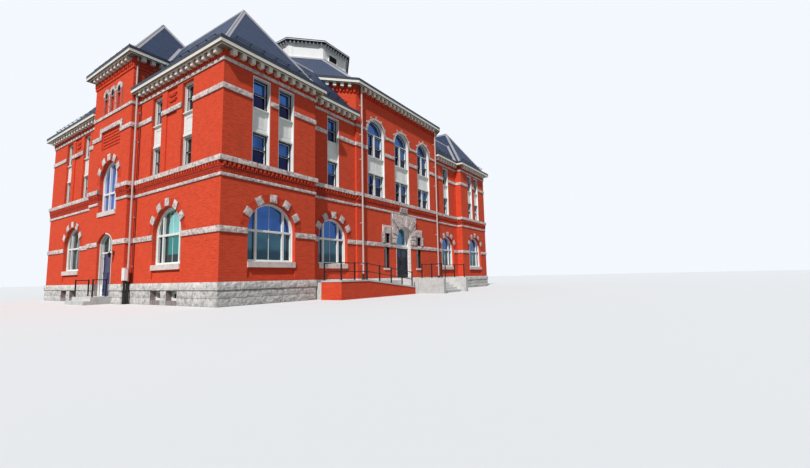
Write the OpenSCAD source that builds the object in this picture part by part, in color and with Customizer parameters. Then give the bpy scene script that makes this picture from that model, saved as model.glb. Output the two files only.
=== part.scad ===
// Brick town hall of three storeys over a granite basement, with end pavilions,
// an octagonal central hall under a lantern, and a stair tower on the west side.

/* [Plan] */
// Length of the main front
front_len = 29500; // [28500:100:32000]
// Length of the side fronts
side_len = 21400; // [20600:100:24000]
// Width of each end pavilion
pav_w = 5500; // [5400:50:5900]
// How far the end pavilions stand forward of the links
pav_proj = 550; // [500:10:650]
// Width of the central bay
bay_w = 10500; // [10300:100:11000]
// How far the central bay stands forward of the links
bay_proj = 120; // [60:10:160]
// Width of the side tower
tower_w = 5100; // [4900:50:5300]
// How far the tower stands forward of the side front
tower_proj = 350; // [300:10:400]
// Thickness of the brick walls
wall_t = 450; // [400:10:500]

/* [Levels] */
// Top of the granite foundation
base_h = 700; // [680:10:800]
// Height of the water table course
ledge_h = 360; // [300:10:400]
// Bottom of the granite band at the spring line
mid_band_z = 3200; // [3150:10:3240]
// Height of the band at the spring line
mid_band_h = 280; // [240:10:300]
// Bottom of the narrow band under the string course
thin_band_z = 5660; // [5600:10:5700]
// Height of the narrow band
thin_band_h = 160; // [120:10:200]
// Bottom of the string course under the second storey sills
string_z = 6330; // [6300:10:6360]
// Height of the string course
string_h = 250; // [200:10:260]
// Bottom of the third storey band
third_band_z = 9630; // [9600:10:9660]
// Height of the third storey band
third_band_h = 270; // [200:10:300]
// Height of wall between the third storey windows and the band over them
head_gap = 80; // [60:10:120]
// Height of the band over the third storey windows
top_band_h = 190; // [150:10:200]
// Height of wall over the third storey windows, up to the cornice of the wings
head_wall = 630; // [560:10:700]
// Top of the walls of the central hall and of the tower
hall_top = 13700; // [13500:50:14100]
// Level of the second storey floor
floor_2 = 5850; // [5750:10:5950]
// Level of the third storey floor
floor_3 = 8750; // [8650:10:8850]
// Thickness of each floor
floor_t = 200; // [150:10:260]

/* [Windows] */
// Width of the arched windows of the pavilions and sides
arch_w = 2750; // [2600:50:2900]
// Width of the arched windows of the links
link_arch_w = 2400; // [2200:50:2600]
// Sill level of the first storey windows
arch_sill = 1950; // [1900:10:2000]
// Height of the granite sills
sill_h = 260; // [220:10:320]
// How far the sills stand out
sill_out = 60; // [40:5:90]
// Spring line of the first storey arches
arch_spring = 3420; // [3400:10:3470]
// Width of the single upper windows
sash_w = 1000; // [900:10:1100]
// Head of the second storey windows
sash_2_head = 8150; // [8100:10:8200]
// Sill of the third storey windows
sash_3_sill = 9330; // [9280:10:9360]
// Head of the third storey windows
sash_3_head = 10850; // [10750:10:10900]
// Distance of the upper windows from the axis of a pavilion
pav_col = 750; // [700:10:800]
// Distance of the upper windows from the axis of a side window
side_col = 1500; // [1400:10:1600]
// Distance from the tower axis to the axis of each side window
side_axis = 6200; // [6100:50:6300]
// Width of the paired windows of the central bay
bay_win_w = 1900; // [1800:10:2000]
// Spacing of the paired windows
bay_pitch = 3150; // [3050:10:3200]
// Spring line of the arched heads of the paired windows
bay_spring = 10980; // [10900:10:11050]
// Depth of the window frames behind the wall face
reveal = 230; // [180:10:260]
// Thickness of the window frames
frame_t = 100; // [80:5:110]
// Thickness of the panes
glass_t = 24; // [16:2:30]
// Width of the bars of a window frame
bar_w = 110; // [90:5:120]
// Height of the meeting rails of the sashes
rail_w = 50; // [40:5:70]
// Width of the granite hoods over the paired windows
hood_t = 150; // [120:10:180]
// Depth of the recessed brick panels
recess = 60; // [40:5:80]
// Width of the basement windows
cellar_w = 1000; // [800:50:1100]
// Height of the basement windows
cellar_h = 450; // [400:10:460]
// Sill level of the basement windows
cellar_sill = 210; // [180:10:220]
// Distance of the basement windows from the axis of a side window
cellar_col = 780; // [700:10:850]
// Radial length of the granite blocks around the arches
block_len = 400; // [350:10:450]
// Width of the granite blocks around the arches
block_w = 400; // [300:10:420]

/* [Tower] */
// Width of the tower landing window
landing_w = 2400; // [2200:50:2500]
// Sill of the landing window
landing_sill = 5200; // [5150:10:5300]
// Spring line of the landing window
landing_spring = 6950; // [6850:10:7050]
// Width of each blind slot high in the tower
light_w = 400; // [380:10:440]
// Depth of these slots
light_deep = 120; // [80:10:160]
// Diameter of the round lights over the slots
light_d = 360; // [300:10:370]
// Spacing of the three lights
light_pitch = 860; // [820:10:900]
// Sill of the three lights
light_sill = 11120; // [11120:10:11300]
// Level of the centres of the round lights
light_spring = 12280; // [12200:10:12350]
// Width of the raised part of the third storey band on the tower
step_w = 2500; // [2300:50:2700]
// How much higher this part lies
step_up = 450; // [350:10:500]
// Bottom of the sunk panel under it
step_low = 8950; // [8850:10:9050]
// Bottom of the corbelled brickwork at the head of the tower
corbel_z = 13050; // [12950:10:13150]

/* [Entrances] */
// Width of the portal opening
portal_w = 1900; // [1800:20:2000]
// Spring line of the portal arch
portal_spring = 3850; // [3800:10:3900]
// Width of the granite surround of the portal
surround_w = 3160; // [3000:20:3180]
// How far the granite surround stands out
surround_out = 100; // [80:5:120]
// Width of the outer jamb stones of the side lights
jamb_stone = 300; // [250:10:350]
// Distance of the bars of the fanlight from its axis
fan_bar = 600; // [500:10:650]
// Width of the side lights
slit_w = 600; // [500:10:640]
// Distance from the door axis to each side light
slit_axis = 2100; // [2080:10:2150]
// Sill of the side lights
slit_sill = 1750; // [1700:10:1800]
// Head of the side lights
slit_head = 4160; // [4100:10:4200]
// Width of the side door opening
side_door_w = 2000; // [1900:20:2100]
// Level of the side door threshold
side_step = 400; // [360:10:440]
// Spring line of the side door arch
side_door_spring = 3450; // [3400:10:3500]
// Rise of the side door arch
side_door_rise = 500; // [450:10:600]
// Underside of the transom over the side door
side_door_head = 2800; // [2750:10:2850]
// Width of the side light beside the side door
side_light_w = 220; // [180:10:260]
// Thickness of the door leaves
leaf_t = 45; // [40:5:50]
// Width of the jambs of the door frames
jamb_w = 80; // [60:5:100]
// Width of the stiles of a leaf
stile_w = 110; // [90:5:130]
// Clearance around a door leaf
door_gap = 10; // [9:1:12]
// Radius of the hinge knuckles
knuckle_r = 10; // [8:0.5:12]
// Radius of the hinge pins
hinge_pin_r = 6; // [5:0.5:7]
// Clearance of the hinge pins in their knuckles
pin_gap = 0.3; // [0.2:0.1:0.5]

/* [Roofs] */
// Overhang of the cornices
eave = 450; // [420:10:480]
// Thickness of the cornice boards
eave_t = 140; // [120:10:180]
// Width of the blocks under the cornices
modillion_w = 200; // [160:10:240]
// Height of the blocks
modillion_h = 240; // [200:10:260]
// How far the blocks stand out
modillion_out = 300; // [240:10:360]
// Spacing of the blocks
modillion_pitch = 480; // [420:10:560]
// How far the brick courses under the cornices stand out
corbel_out = 50; // [30:5:60]
// Height of these courses
corbel_h = 120; // [80:10:120]
// Width of the gutters
gutter_w = 200; // [160:10:220]
// Height of the gutters
gutter_h = 180; // [150:10:200]
// Rise of the steep roofs for each unit of run
roof_slope = 1.46; // [1.36:0.02:1.5]
// Thickness of the roofs, measured upright
roof_t = 320; // [250:10:400]
// Distance from the face of the links to their ridge
link_ridge = 1500; // [1400:50:1600]
// Level of the foot of the lantern
lantern_z = 19500; // [19000:100:20000]
// Half the width of the lantern
lantern_r = 3400; // [3200:50:3600]
// Height of the lantern walls
lantern_h = 1450; // [1300:50:1600]
// Thickness of the lantern walls
lantern_t = 150; // [120:10:200]
// Width of each face of the corner posts of the lantern
lantern_post = 200; // [160:10:240]
// Depth of the sunk panels between these posts
lantern_sink = 40; // [20:5:60]
// Overhang of the lantern roof
lantern_eave = 350; // [300:10:400]
// Thickness of the edge of the lantern roof
lantern_edge = 150; // [120:10:180]
// Rise of the lantern roof
lantern_rise = 1100; // [900:50:1300]
// Diameter of the downspouts
pipe_d = 110; // [90:5:130]
// Distance of the front downspouts from the ends of the central bay
pipe_in = 350; // [300:10:420]

/* [Terrace] */
// Level of the entrance landing
terrace_h = 1000; // [960:10:1040]
// Width of the entrance landing
landing_len = 3700; // [3500:50:4000]
// How far the landing stands forward of the pavilions
landing_out = 1900; // [1800:50:2000]
// How far the ramp stands forward of the pavilions
terrace_out = 2000; // [1900:50:2200]
// Width of the return run of the ramp along the wall
return_w = 1050; // [1000:10:1100]
// Level of the turning platform of the ramp
turn_h = 900; // [850:10:950]
// Gap between the low end of the ramp and the landing
ramp_gap = 500; // [400:20:700]
// Height of the low end of the ramp
ramp_low = 100; // [60:10:200]
// Length of the sloping run of the ramp
ramp_len = 4800; // [4500:100:5000]
// Length of the turning platform of the ramp
turn_len = 2200; // [2000:50:2400]
// Thickness of the ramp wall
ramp_wall_t = 250; // [200:10:300]
// Height of the ramp wall at its low end
ramp_wall_low = 480; // [400:10:560]
// Height of the stone caps
cap_h = 80; // [60:5:100]
// How far the stone caps stand out
cap_out = 30; // [20:5:40]
// Number of steps below the landing
steps_n = 5; // [4:1:6]
// Depth of a tread
tread = 300; // [280:10:330]
// Clear width of the steps
steps_w = 3000; // [2800:50:3200]
// Thickness of the cheek walls beside the steps
cheek_t = 300; // [250:10:350]
// How far the cheek walls run past the steps
cheek_end = 400; // [300:10:500]
// Height of the railings
rail_h = 900; // [850:10:1000]
// Diameter of the railing tubes
rail_d = 45; // [38:1:50]
// Width of the railing posts
post_w = 60; // [54:1:70]
// Depth of the stoop at the side door
stoop_len = 1200; // [1000:50:1400]
// Width of the stoop at the side door
stoop_w = 2600; // [2400:50:2800]

/* [Hidden] */
$fn = 48;

cut = 10;
brick = [0.80, 0.28, 0.18];
granite = [0.72, 0.69, 0.67];
slate = [0.24, 0.28, 0.34];
cream = [0.93, 0.92, 0.88];
black = [0.12, 0.12, 0.13];
pane_blue = [0.35, 0.45, 0.58];
navy = [0.10, 0.13, 0.24];

wall_foot = base_h + ledge_h;
top_band_z = sash_3_head + head_gap;
wing_top = sash_3_head + head_wall;
string_top = string_z + string_h;
mid_band_top = mid_band_z + mid_band_h;
attic_top = wing_top + eave_t;
hall_eave_z = hall_top + eave_t;
gutter_top = hall_eave_z + gutter_h;
cx = front_len / 2;
cy = side_len / 2;
bay_x0 = (front_len - bay_w) / 2;
bay_x1 = front_len - bay_x0;
link_y = pav_proj;
bay_y = pav_proj - bay_proj;
back_y = link_y + wall_t;
link_c = (pav_w + bay_x0) / 2;
pav_xs = [pav_w / 2, front_len - pav_w / 2];
link_xs = [link_c, front_len - link_c];
side_ys = [cy - side_axis, cy + side_axis];
tower_y0 = cy - tower_w / 2;
tower_y1 = cy + tower_w / 2;
tower_x1 = tower_w - tower_proj;
chamfer = bay_x0 - pav_w;
tan_half = tan(22.5);
lantern_side = 2 * (lantern_r * tan_half - lantern_post);
lantern_fit = 0.4;
ledge_out = 80;
base_out = 40;
band_out = 45;
string_out = 120;
eave_in = eave - gutter_w;
pipe_off = string_out + pipe_d / 2 + 15;
leaf_w = (portal_w - 2 * jamb_w - 3 * door_gap) / 2;
leaf_h = mid_band_z - wall_foot - 2 * door_gap;
side_leaf_w = (side_door_w - 3 * jamb_w - side_light_w - 3 * door_gap) / 2;
side_leaf_h = side_door_head - side_step - 2 * door_gap;
side_light_x0 = -side_door_w / 2 + jamb_w;
side_light_x1 = side_light_x0 + side_light_w;
side_leaf_x = side_light_x1 + jamb_w + door_gap;
landing_x0 = cx - landing_len / 2;
landing_x1 = cx + landing_len / 2;
turn_x0 = landing_x0 - ramp_gap - ramp_len - turn_len;
turn_x1 = turn_x0 + turn_len;
ramp_x1 = turn_x1 + ramp_len;
wall_face = bay_y - ledge_out;
return_y = link_y - ledge_out - return_w;
stoop_x = -tower_proj - base_out - stoop_len;
x_low = stoop_x;
x_high = front_len + eave;
cheek_y = -landing_out - steps_n * tread - cheek_end;
y_low = cheek_y;
y_high = side_len + eave;
lip = 25;
lantern_foot = 60;
side_pane_w = 420;
landing_transom = 6300;
panel_t = 80;
panel_gap = 60;
light_gap = 40;
block_gap = 20;
rail_in = 100;
panel_sink = 12;
side_panel_h = 600;
pull_d = 30;
pull_out = 60;
pull_low = 900;
pull_len = 400;
hinge_h = 60;
hinge_plate = [35, 4];

// Outline of the outer wall faces without the tower, moved outward by d
function main_outline(d) = [
    [-d, -d], [pav_w + d, -d], [pav_w + d, link_y - d], [bay_x0 - d, link_y - d],
    [bay_x0 - d, bay_y - d], [bay_x1 + d, bay_y - d], [bay_x1 + d, link_y - d],
    [front_len - pav_w - d, link_y - d], [front_len - pav_w - d, -d], [front_len + d, -d],
    [front_len + d, side_len + d], [front_len - pav_w - d, side_len + d],
    [front_len - pav_w - d, side_len - link_y + d], [bay_x1 + d, side_len - link_y + d],
    [bay_x1 + d, side_len - bay_y + d], [bay_x0 - d, side_len - bay_y + d],
    [bay_x0 - d, side_len - link_y + d], [pav_w + d, side_len - link_y + d],
    [pav_w + d, side_len + d], [-d, side_len + d]];

// The same outline with the tower
function outline(d) = concat(main_outline(d), [[-d, tower_y1 + d],
    [-tower_proj - d, tower_y1 + d], [-tower_proj - d, tower_y0 - d], [-d, tower_y0 - d]]);

// Outline of the octagonal hall, moved outward by d
function hall(d) = [
    [bay_x0 - d * tan_half, bay_y - d], [bay_x1 + d * tan_half, bay_y - d],
    [bay_x1 + chamfer + d, bay_y + chamfer - d * tan_half],
    [bay_x1 + chamfer + d, side_len - bay_y - chamfer + d * tan_half],
    [bay_x1 + d * tan_half, side_len - bay_y + d], [bay_x0 - d * tan_half, side_len - bay_y + d],
    [bay_x0 - chamfer - d, side_len - bay_y - chamfer + d * tan_half],
    [bay_x0 - chamfer - d, bay_y + chamfer - d * tan_half]];

// Outline of the west wing with its links, moved outward by d
function wing(d) = [
    [-d, -d], [pav_w + d, -d], [pav_w + d, link_y - d], [bay_x0, link_y - d],
    [bay_x0, side_len - link_y + d], [pav_w + d, side_len - link_y + d],
    [pav_w + d, side_len + d], [-d, side_len + d]];

// Outline of the tower, moved outward by d but kept clear of the hall cornice
function tower(d) = [
    [-tower_proj - d, tower_y0 - d], [min(tower_x1 + d, pav_w - eave), tower_y0 - d],
    [min(tower_x1 + d, pav_w - eave), tower_y1 + d], [-tower_proj - d, tower_y1 + d]];

// Regular octagon of half width r
function octagon(r) = [for (k = [0:7])
    [cx + r / cos(22.5) * cos(22.5 + 45 * k), cy + r / cos(22.5) * sin(22.5 + 45 * k)]];

// Vector with whole numbers, so that a piece on a diagonal wall lies flat against it
function whole(v) = [round(v[0]), round(v[1])];

// Rectangle of width w outside the side from p to q, centred at distance s along it
function plan_box(p, q, s, w, out) =
    let (t = (q - p) / norm(q - p), n = whole(out * [t[1], -t[0]]), c = p + whole(s * t),
        half = whole(w / 2 * t))
    [c - half, c - half + n, c + half + n, c + half];

// Strip of width w along side k of that octagon, between the half widths r0 and r1
function octagon_side(k, w, r0, r1) = [for (p = [[r0, -w], [r1, -w], [r1, w], [r0, w]])
    [cx + p[0] * cos(45 * k) - p[1] / 2 * sin(45 * k),
     cy + p[0] * sin(45 * k) + p[1] / 2 * cos(45 * k)]];

module to_origin() {
    translate([-(x_low + x_high) / 2, -(y_low + y_high) / 2, 0]) children();
}
module prism(points, z0, z1) {
    translate([0, 0, z0]) linear_extrude(z1 - z0) polygon(points);
}
module ring(outer, inner, z0, z1) {
    difference() {
        prism(outer, z0, z1);
        prism(inner, z0 - cut, z1 + cut);
    }
}
module box(p, q) {
    translate(p) cube([q[0] - p[0], q[1] - p[1], q[2] - p[2]]);
}
module both_ends() {
    children();
    translate([front_len, 0, 0]) mirror([1, 0, 0]) children();
}
module front_and_rear() {
    children();
    translate([0, side_len, 0]) mirror([0, 1, 0]) children();
}

// Places on the fronts: x runs to the right seen from outside, y runs inward
module front_face(x, y = 0) {
    translate([x, y, 0]) children();
}
module rear_face(x, y = 0) {
    translate([x, side_len - y, 0]) rotate([0, 0, 180]) children();
}
module west_face(y, x = 0) {
    translate([x, y, 0]) rotate([0, 0, -90]) children();
}
module east_face(y) {
    translate([front_len, y, 0]) rotate([0, 0, 90]) children();
}
module tower_face() {
    west_face(cy, -tower_proj) children();
}
module pair(d) {
    for (s = [-1, 1]) translate([s * d, 0, 0]) children();
}
module at_pavilions() {
    for (x = pav_xs) {
        front_face(x) children();
        rear_face(x) children();
    }
}
module at_links() {
    for (x = link_xs) {
        front_face(x, link_y) children();
        rear_face(x, link_y) children();
    }
}
module at_sides() {
    for (y = side_ys) {
        west_face(y) children();
        east_face(y) children();
    }
    east_face(cy) children();
}
module at_front_bays() {
    for (k = [-1, 0, 1]) front_face(cx + k * bay_pitch, bay_y) children();
}
module at_rear_bays() {
    for (k = [-1, 0, 1]) rear_face(cx + k * bay_pitch, bay_y) children();
}
module at_columns() {
    at_pavilions() pair(pav_col) children();
    at_sides() pair(side_col) children();
    at_links() children();
}
module at_cellars() {
    at_sides() pair(cellar_col) children();
}

// Solid with a round head, from y0 to y1 behind the wall face
module arch_solid(w, z0, spring, y0, y1) {
    box([-w / 2, y0, z0], [w / 2, y1, spring]);
    intersection() {
        translate([0, y0, spring]) rotate([-90, 0, 0]) cylinder(d = w, h = y1 - y0);
        box([-w, y0 - cut, spring], [w, y1 + cut, spring + w]);
    }
}
// Solid with a shallow curved head
module segment_solid(w, z0, spring, rise, y0, y1) {
    r = (w * w / 4 + rise * rise) / (2 * rise);
    box([-w / 2, y0, z0], [w / 2, y1, spring]);
    intersection() {
        translate([0, y0, spring + rise - r]) rotate([-90, 0, 0]) cylinder(r = r, h = y1 - y0);
        box([-w / 2, y0 - cut, spring], [w / 2, y1 + cut, spring + w]);
    }
}
module slot(w, z0, z1, y0 = -cut, y1 = wall_t + cut) {
    box([-w / 2, y0, z0], [w / 2, y1, z1]);
}

// Openings
module arch_cut(w) {
    arch_solid(w, arch_sill - sill_h, arch_spring, -cut - string_out, wall_t + cut);
}
module arch_bay_cut(w) {
    arch_cut(w);
    slot(w, wall_foot + panel_gap, arch_sill - sill_h - panel_gap, -cut, recess);
}
module sash_2_cut(w) {
    slot(w, string_top, sash_2_head);
}
module sash_3_cut(w) {
    slot(w, sash_3_sill, sash_3_head, -cut - string_out);
}
module column_cut() {
    sash_2_cut(sash_w);
    sash_3_cut(sash_w);
    slot(sash_w, sash_2_head - cut, sash_3_sill + cut, -cut, reveal);
}
module side_cut() {
    arch_bay_cut(arch_w);
    pair(side_col) column_cut();
    slot(sash_w, string_top + panel_gap, top_band_z, -cut, recess);
}
module bay_head_cut() {
    arch_solid(bay_win_w, sash_3_sill, bay_spring, -cut - string_out, wall_t + cut);
}
module bay_cut() {
    sash_2_cut(bay_win_w);
    slot(bay_win_w, sash_2_head - cut, sash_3_sill + cut, -cut, reveal);
    bay_head_cut();
}
module slit_cuts() {
    pair(slit_axis) {
        slot(slit_w, slit_sill, mid_band_z);
        slot(slit_w, mid_band_top, slit_head);
    }
}
module portal_cut() {
    arch_solid(portal_w, wall_foot - cut, portal_spring, -cut - string_out, wall_t + cut);
}
module side_door_cut() {
    segment_solid(side_door_w, side_step, side_door_spring, side_door_rise,
        -cut - string_out, wall_t + cut);
}
module landing_cut() {
    arch_solid(landing_w, landing_sill, landing_spring, -cut - string_out, wall_t + cut);
}
module at_lights() {
    tower_face() for (k = [-1, 0, 1]) translate([k * light_pitch, 0, 0]) children();
}
module disc(d, z, y0, y1) {
    translate([0, y0, z]) rotate([-90, 0, 0]) cylinder(d = d, h = y1 - y0);
}
module light_cut() {
    disc(light_d, light_spring, -cut - band_out, wall_t + cut);
    slot(light_w, light_sill, light_spring - light_d / 2 - light_gap,
        -cut - band_out, light_deep);
}
module step_cut() {
    slot(step_w, step_low, third_band_z + step_up, -cut, recess);
}
module hood_cut() {
    arch_solid(bay_win_w + 2 * hood_t, bay_spring - hood_t, bay_spring, -cut - band_out, cut);
}
module cellar_cut() {
    slot(cellar_w, cellar_sill, cellar_sill + cellar_h, -cut - base_out);
}
module stair_well(z0, z1) {
    box([wall_t - tower_proj, tower_y0 + wall_t, z0], [tower_x1 - wall_t, tower_y1 - wall_t, z1]);
}

// Walls
// Wall with short returns that run back to the plane y = back_y
module wall_with_returns(x0, x1, y, z0, z1) {
    difference() {
        box([x0, y, z0], [x1, back_y, z1]);
        box([x0 + wall_t, y + wall_t, z0 - cut], [x1 - wall_t, back_y + cut, z1 + cut]);
    }
}
module pavilion_walls() {
    color(brick) to_origin() both_ends() front_and_rear() difference() {
        wall_with_returns(0, pav_w, 0, wall_foot, wing_top);
        front_face(pav_xs[0]) arch_bay_cut(arch_w);
        front_face(pav_xs[0]) pair(pav_col) column_cut();
    }
}
module link_walls() {
    color(brick) to_origin() both_ends() front_and_rear() difference() {
        box([pav_w, link_y, wall_foot], [bay_x0, back_y, wing_top]);
        front_face(link_c, link_y) arch_bay_cut(link_arch_w);
        front_face(link_c, link_y) column_cut();
    }
}
module bay_wall_beside(x0, x1) {
    color(brick) to_origin() difference() {
        intersection() {
            wall_with_returns(bay_x0, bay_x1, bay_y, wall_foot, mid_band_z);
            box([x0, 0, 0], [x1, side_len, mid_band_z + cut]);
        }
        front_face(cx, bay_y) slit_cuts();
    }
}
module bay_wall_left() {
    bay_wall_beside(bay_x0 - cut, cx - portal_w / 2);
}
module bay_wall_right() {
    bay_wall_beside(cx + portal_w / 2, bay_x1 + cut);
}
module bay_wall_top(z0) {
    wall_with_returns(bay_x0, bay_x1, bay_y, z0, attic_top);
    intersection() {
        ring(hall(0), hall(-wall_t), attic_top, hall_top);
        box([bay_x0, 0, 0], [bay_x1, bay_y + 2 * wall_t, hall_top + cut]);
    }
}
module bay_wall_over() {
    color(brick) to_origin() difference() {
        bay_wall_top(mid_band_z);
        front_face(cx, bay_y) portal_cut();
        front_face(cx, bay_y) slit_cuts();
        at_front_bays() bay_cut();
    }
}
module rear_bay_wall() {
    color(brick) to_origin() difference() {
        translate([0, side_len, 0]) mirror([0, 1, 0]) bay_wall_top(wall_foot);
        at_rear_bays() arch_bay_cut(link_arch_w);
        at_rear_bays() bay_cut();
    }
}
module west_walls() {
    color(brick) to_origin() difference() {
        union() {
            box([0, back_y, wall_foot], [wall_t, tower_y0, wing_top]);
            box([0, tower_y1, wall_foot], [wall_t, side_len - back_y, wing_top]);
        }
        for (y = side_ys) west_face(y) side_cut();
    }
}
module tower_front(z0, z1) {
    difference() {
        box([-tower_proj, tower_y0, z0], [wall_t, tower_y1, z1]);
        stair_well(z0 - cut, z1 + cut);
    }
}
module tower_wall_beside() {
    color(brick) to_origin() difference() {
        tower_front(wall_foot, side_door_head);
        tower_face() side_door_cut();
    }
}
module tower_wall_over() {
    color(brick) to_origin() difference() {
        union() {
            tower_front(side_door_head, attic_top);
            box([-tower_proj, tower_y0, attic_top], [wall_t - tower_proj, tower_y1, hall_top]);
        }
        tower_face() side_door_cut();
        tower_face() landing_cut();
        tower_face() step_cut();
        at_lights() light_cut();
    }
}
module tower_upper_walls() {
    color(brick) to_origin() difference() {
        box([wall_t - tower_proj, tower_y0, attic_top], [tower_x1, tower_y1, hall_top]);
        box([0, tower_y0 + wall_t, attic_top - cut],
            [tower_x1 - wall_t, tower_y1 - wall_t, hall_top + cut]);
    }
}
module east_wall() {
    color(brick) to_origin() difference() {
        box([front_len - wall_t, back_y, wall_foot], [front_len, side_len - back_y, wing_top]);
        for (y = [side_ys[0], cy, side_ys[1]]) east_face(y) side_cut();
    }
}
module hall_upper_walls() {
    color(brick) to_origin() difference() {
        ring(hall(0), hall(-wall_t), attic_top, hall_top);
        front_and_rear() box([bay_x0, 0, attic_top - cut],
            [bay_x1, bay_y + 2 * wall_t, hall_top + cut]);
    }
}

// Base and floors
// Ring of the outer walls, open where the tower stands
module base_ring(out, z0, z1) {
    difference() {
        ring(main_outline(out), main_outline(-wall_t), z0, z1);
        box([-out - cut, tower_y0 - out, z0 - cut], [wall_t + cut, tower_y1 + out, z1 + cut]);
    }
}
module foundation() {
    color(granite) to_origin() difference() {
        base_ring(base_out, 0, base_h);
        at_cellars() cellar_cut();
    }
}
module water_table() {
    color(granite) to_origin() base_ring(ledge_out, base_h, wall_foot);
}
module tower_base_course(out, z0, z1) {
    box([-tower_proj - out, tower_y0 - out, z0], [wall_t, tower_y1 + out, z1]);
}
module tower_base() {
    color(granite) to_origin() difference() {
        union() {
            tower_base_course(base_out, 0, base_h);
            tower_base_course(ledge_out, base_h, wall_foot);
        }
        stair_well(-cut, wall_foot + cut);
        tower_face() slot(side_door_w, -cut, wall_foot + cut, -cut - ledge_out);
    }
}
module basement_floor() {
    color(granite) to_origin() difference() {
        prism(outline(-wall_t), 0, cellar_sill / 2);
        stair_well(-cut, cellar_sill);
    }
}
module stair_floor() {
    color(granite) to_origin() {
        stair_well(0, side_step);
        tower_face() slot(side_door_w, 0, side_step, -base_out, wall_t);
    }
}
module main_floor() {
    color(granite) to_origin() difference() {
        prism(outline(-wall_t), wall_foot - floor_t, wall_foot);
        stair_well(wall_foot - floor_t - cut, wall_foot + cut);
    }
}
module second_floor() {
    color(granite) to_origin() difference() {
        prism(outline(-wall_t), floor_2 - floor_t, floor_2);
        stair_well(floor_2 - floor_t - cut, floor_2 + cut);
    }
}
module third_floor() {
    color(granite) to_origin() prism(outline(-wall_t), floor_3 - floor_t, floor_3);
}
module attic_floor() {
    color(granite) to_origin() difference() {
        prism(outline(-wall_t), attic_top - floor_t, attic_top);
        prism(hall(-wall_t), attic_top - floor_t - cut, attic_top + cut);
        stair_well(attic_top - floor_t - cut, attic_top + cut);
    }
}
module hall_ceiling() {
    color(cream) to_origin() prism(hall(-wall_t), hall_top - floor_t, hall_top);
}

// Stonework
module band(z0, h, out = band_out) {
    ring(outline(out), outline(0), z0, z0 + h);
}
module granite_bands() {
    color(granite) to_origin() {
        difference() {
            band(mid_band_z, mid_band_h);
            at_pavilions() arch_cut(arch_w);
            at_links() arch_cut(link_arch_w);
            at_sides() arch_cut(arch_w);
            at_rear_bays() arch_cut(link_arch_w);
            front_face(cx, bay_y) portal_cut();
            tower_face() side_door_cut();
        }
        difference() {
            band(thin_band_z, thin_band_h);
            tower_face() landing_cut();
        }
        difference() {
            band(third_band_z, third_band_h);
            at_columns() sash_3_cut(sash_w);
            at_front_bays() bay_head_cut();
            at_rear_bays() bay_head_cut();
            tower_face() slot(step_w, third_band_z - cut, third_band_z + third_band_h + cut,
                -cut - band_out, cut);
        }
        tower_face() difference() {
            slot(step_w + 2 * third_band_h, third_band_z, third_band_z + third_band_h + step_up,
                -band_out, 0);
            slot(step_w, third_band_z - cut, third_band_z + step_up, -cut - band_out, cut);
        }
        difference() {
            band(top_band_z, top_band_h);
            at_front_bays() hood_cut();
            at_rear_bays() hood_cut();
        }
    }
}
module string_course() {
    color(granite) to_origin() difference() {
        band(string_z, string_h, string_out);
        tower_face() landing_cut();
    }
}
module ring_stones(w, spring) {
    for (a = [-60:30:60]) translate([0, -band_out, spring]) rotate([0, a, 0])
        translate([-block_w / 2, 0, w / 2 + block_gap]) cube([block_w, band_out, block_len]);
}
module hood() {
    difference() {
        arch_solid(bay_win_w + 2 * hood_t, bay_spring - hood_t, bay_spring, -band_out, 0);
        arch_solid(bay_win_w, bay_spring - hood_t - cut, bay_spring, -cut - band_out, cut);
    }
    for (a = [-60:30:60]) translate([0, -band_out, bay_spring]) rotate([0, a, 0])
        translate([-hood_t / 2, 0, bay_win_w / 2 + hood_t / 2]) cube([hood_t, band_out, 1.5 * hood_t]);
}
module arch_stones() {
    color(granite) to_origin() {
        at_pavilions() ring_stones(arch_w, arch_spring);
        at_links() ring_stones(link_arch_w, arch_spring);
        at_sides() ring_stones(arch_w, arch_spring);
        at_rear_bays() ring_stones(link_arch_w, arch_spring);
        tower_face() ring_stones(landing_w, landing_spring);
        difference() {
            at_lights() arch_solid(light_pitch + 2 * cut, light_sill, light_spring, -band_out, 0);
            at_lights() light_cut();
        }
        at_front_bays() hood();
        at_rear_bays() hood();
    }
}
module window_sills() {
    color(granite) to_origin() {
        at_pavilions() slot(arch_w, arch_sill - sill_h, arch_sill, -sill_out, wall_t);
        at_sides() slot(arch_w, arch_sill - sill_h, arch_sill, -sill_out, wall_t);
        at_links() slot(link_arch_w, arch_sill - sill_h, arch_sill, -sill_out, wall_t);
        at_rear_bays() slot(link_arch_w, arch_sill - sill_h, arch_sill, -sill_out, wall_t);
        tower_face() slot(landing_w, landing_sill - sill_h, landing_sill, -sill_out, 0);
        front_face(cx, bay_y) pair(slit_axis) {
            slot(slit_w + 2 * rail_in, slit_sill - sill_h / 2, slit_sill, -sill_out, 0);
            slot(slit_w + block_w, slit_head, slit_head + 2 * mid_band_h, -sill_out, 0);
        }
    }
}
module portal_surround() {
    color(granite) to_origin() {
        front_face(cx, bay_y) difference() {
            union() {
                slot(surround_w, mid_band_top, thin_band_z, -surround_out, 0);
                slot(2 * slit_axis - slit_w, mid_band_top, slit_head, -surround_out, 0);
            }
            portal_cut();
        }
        front_face(cx, bay_y) pair(slit_axis + (slit_w + jamb_stone) / 2)
            slot(jamb_stone, mid_band_top, slit_head, -surround_out, 0);
        front_face(cx, bay_y) slot(surround_w / 3, thin_band_z + thin_band_h, string_z,
            -surround_out, 0);
    }
}

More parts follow.
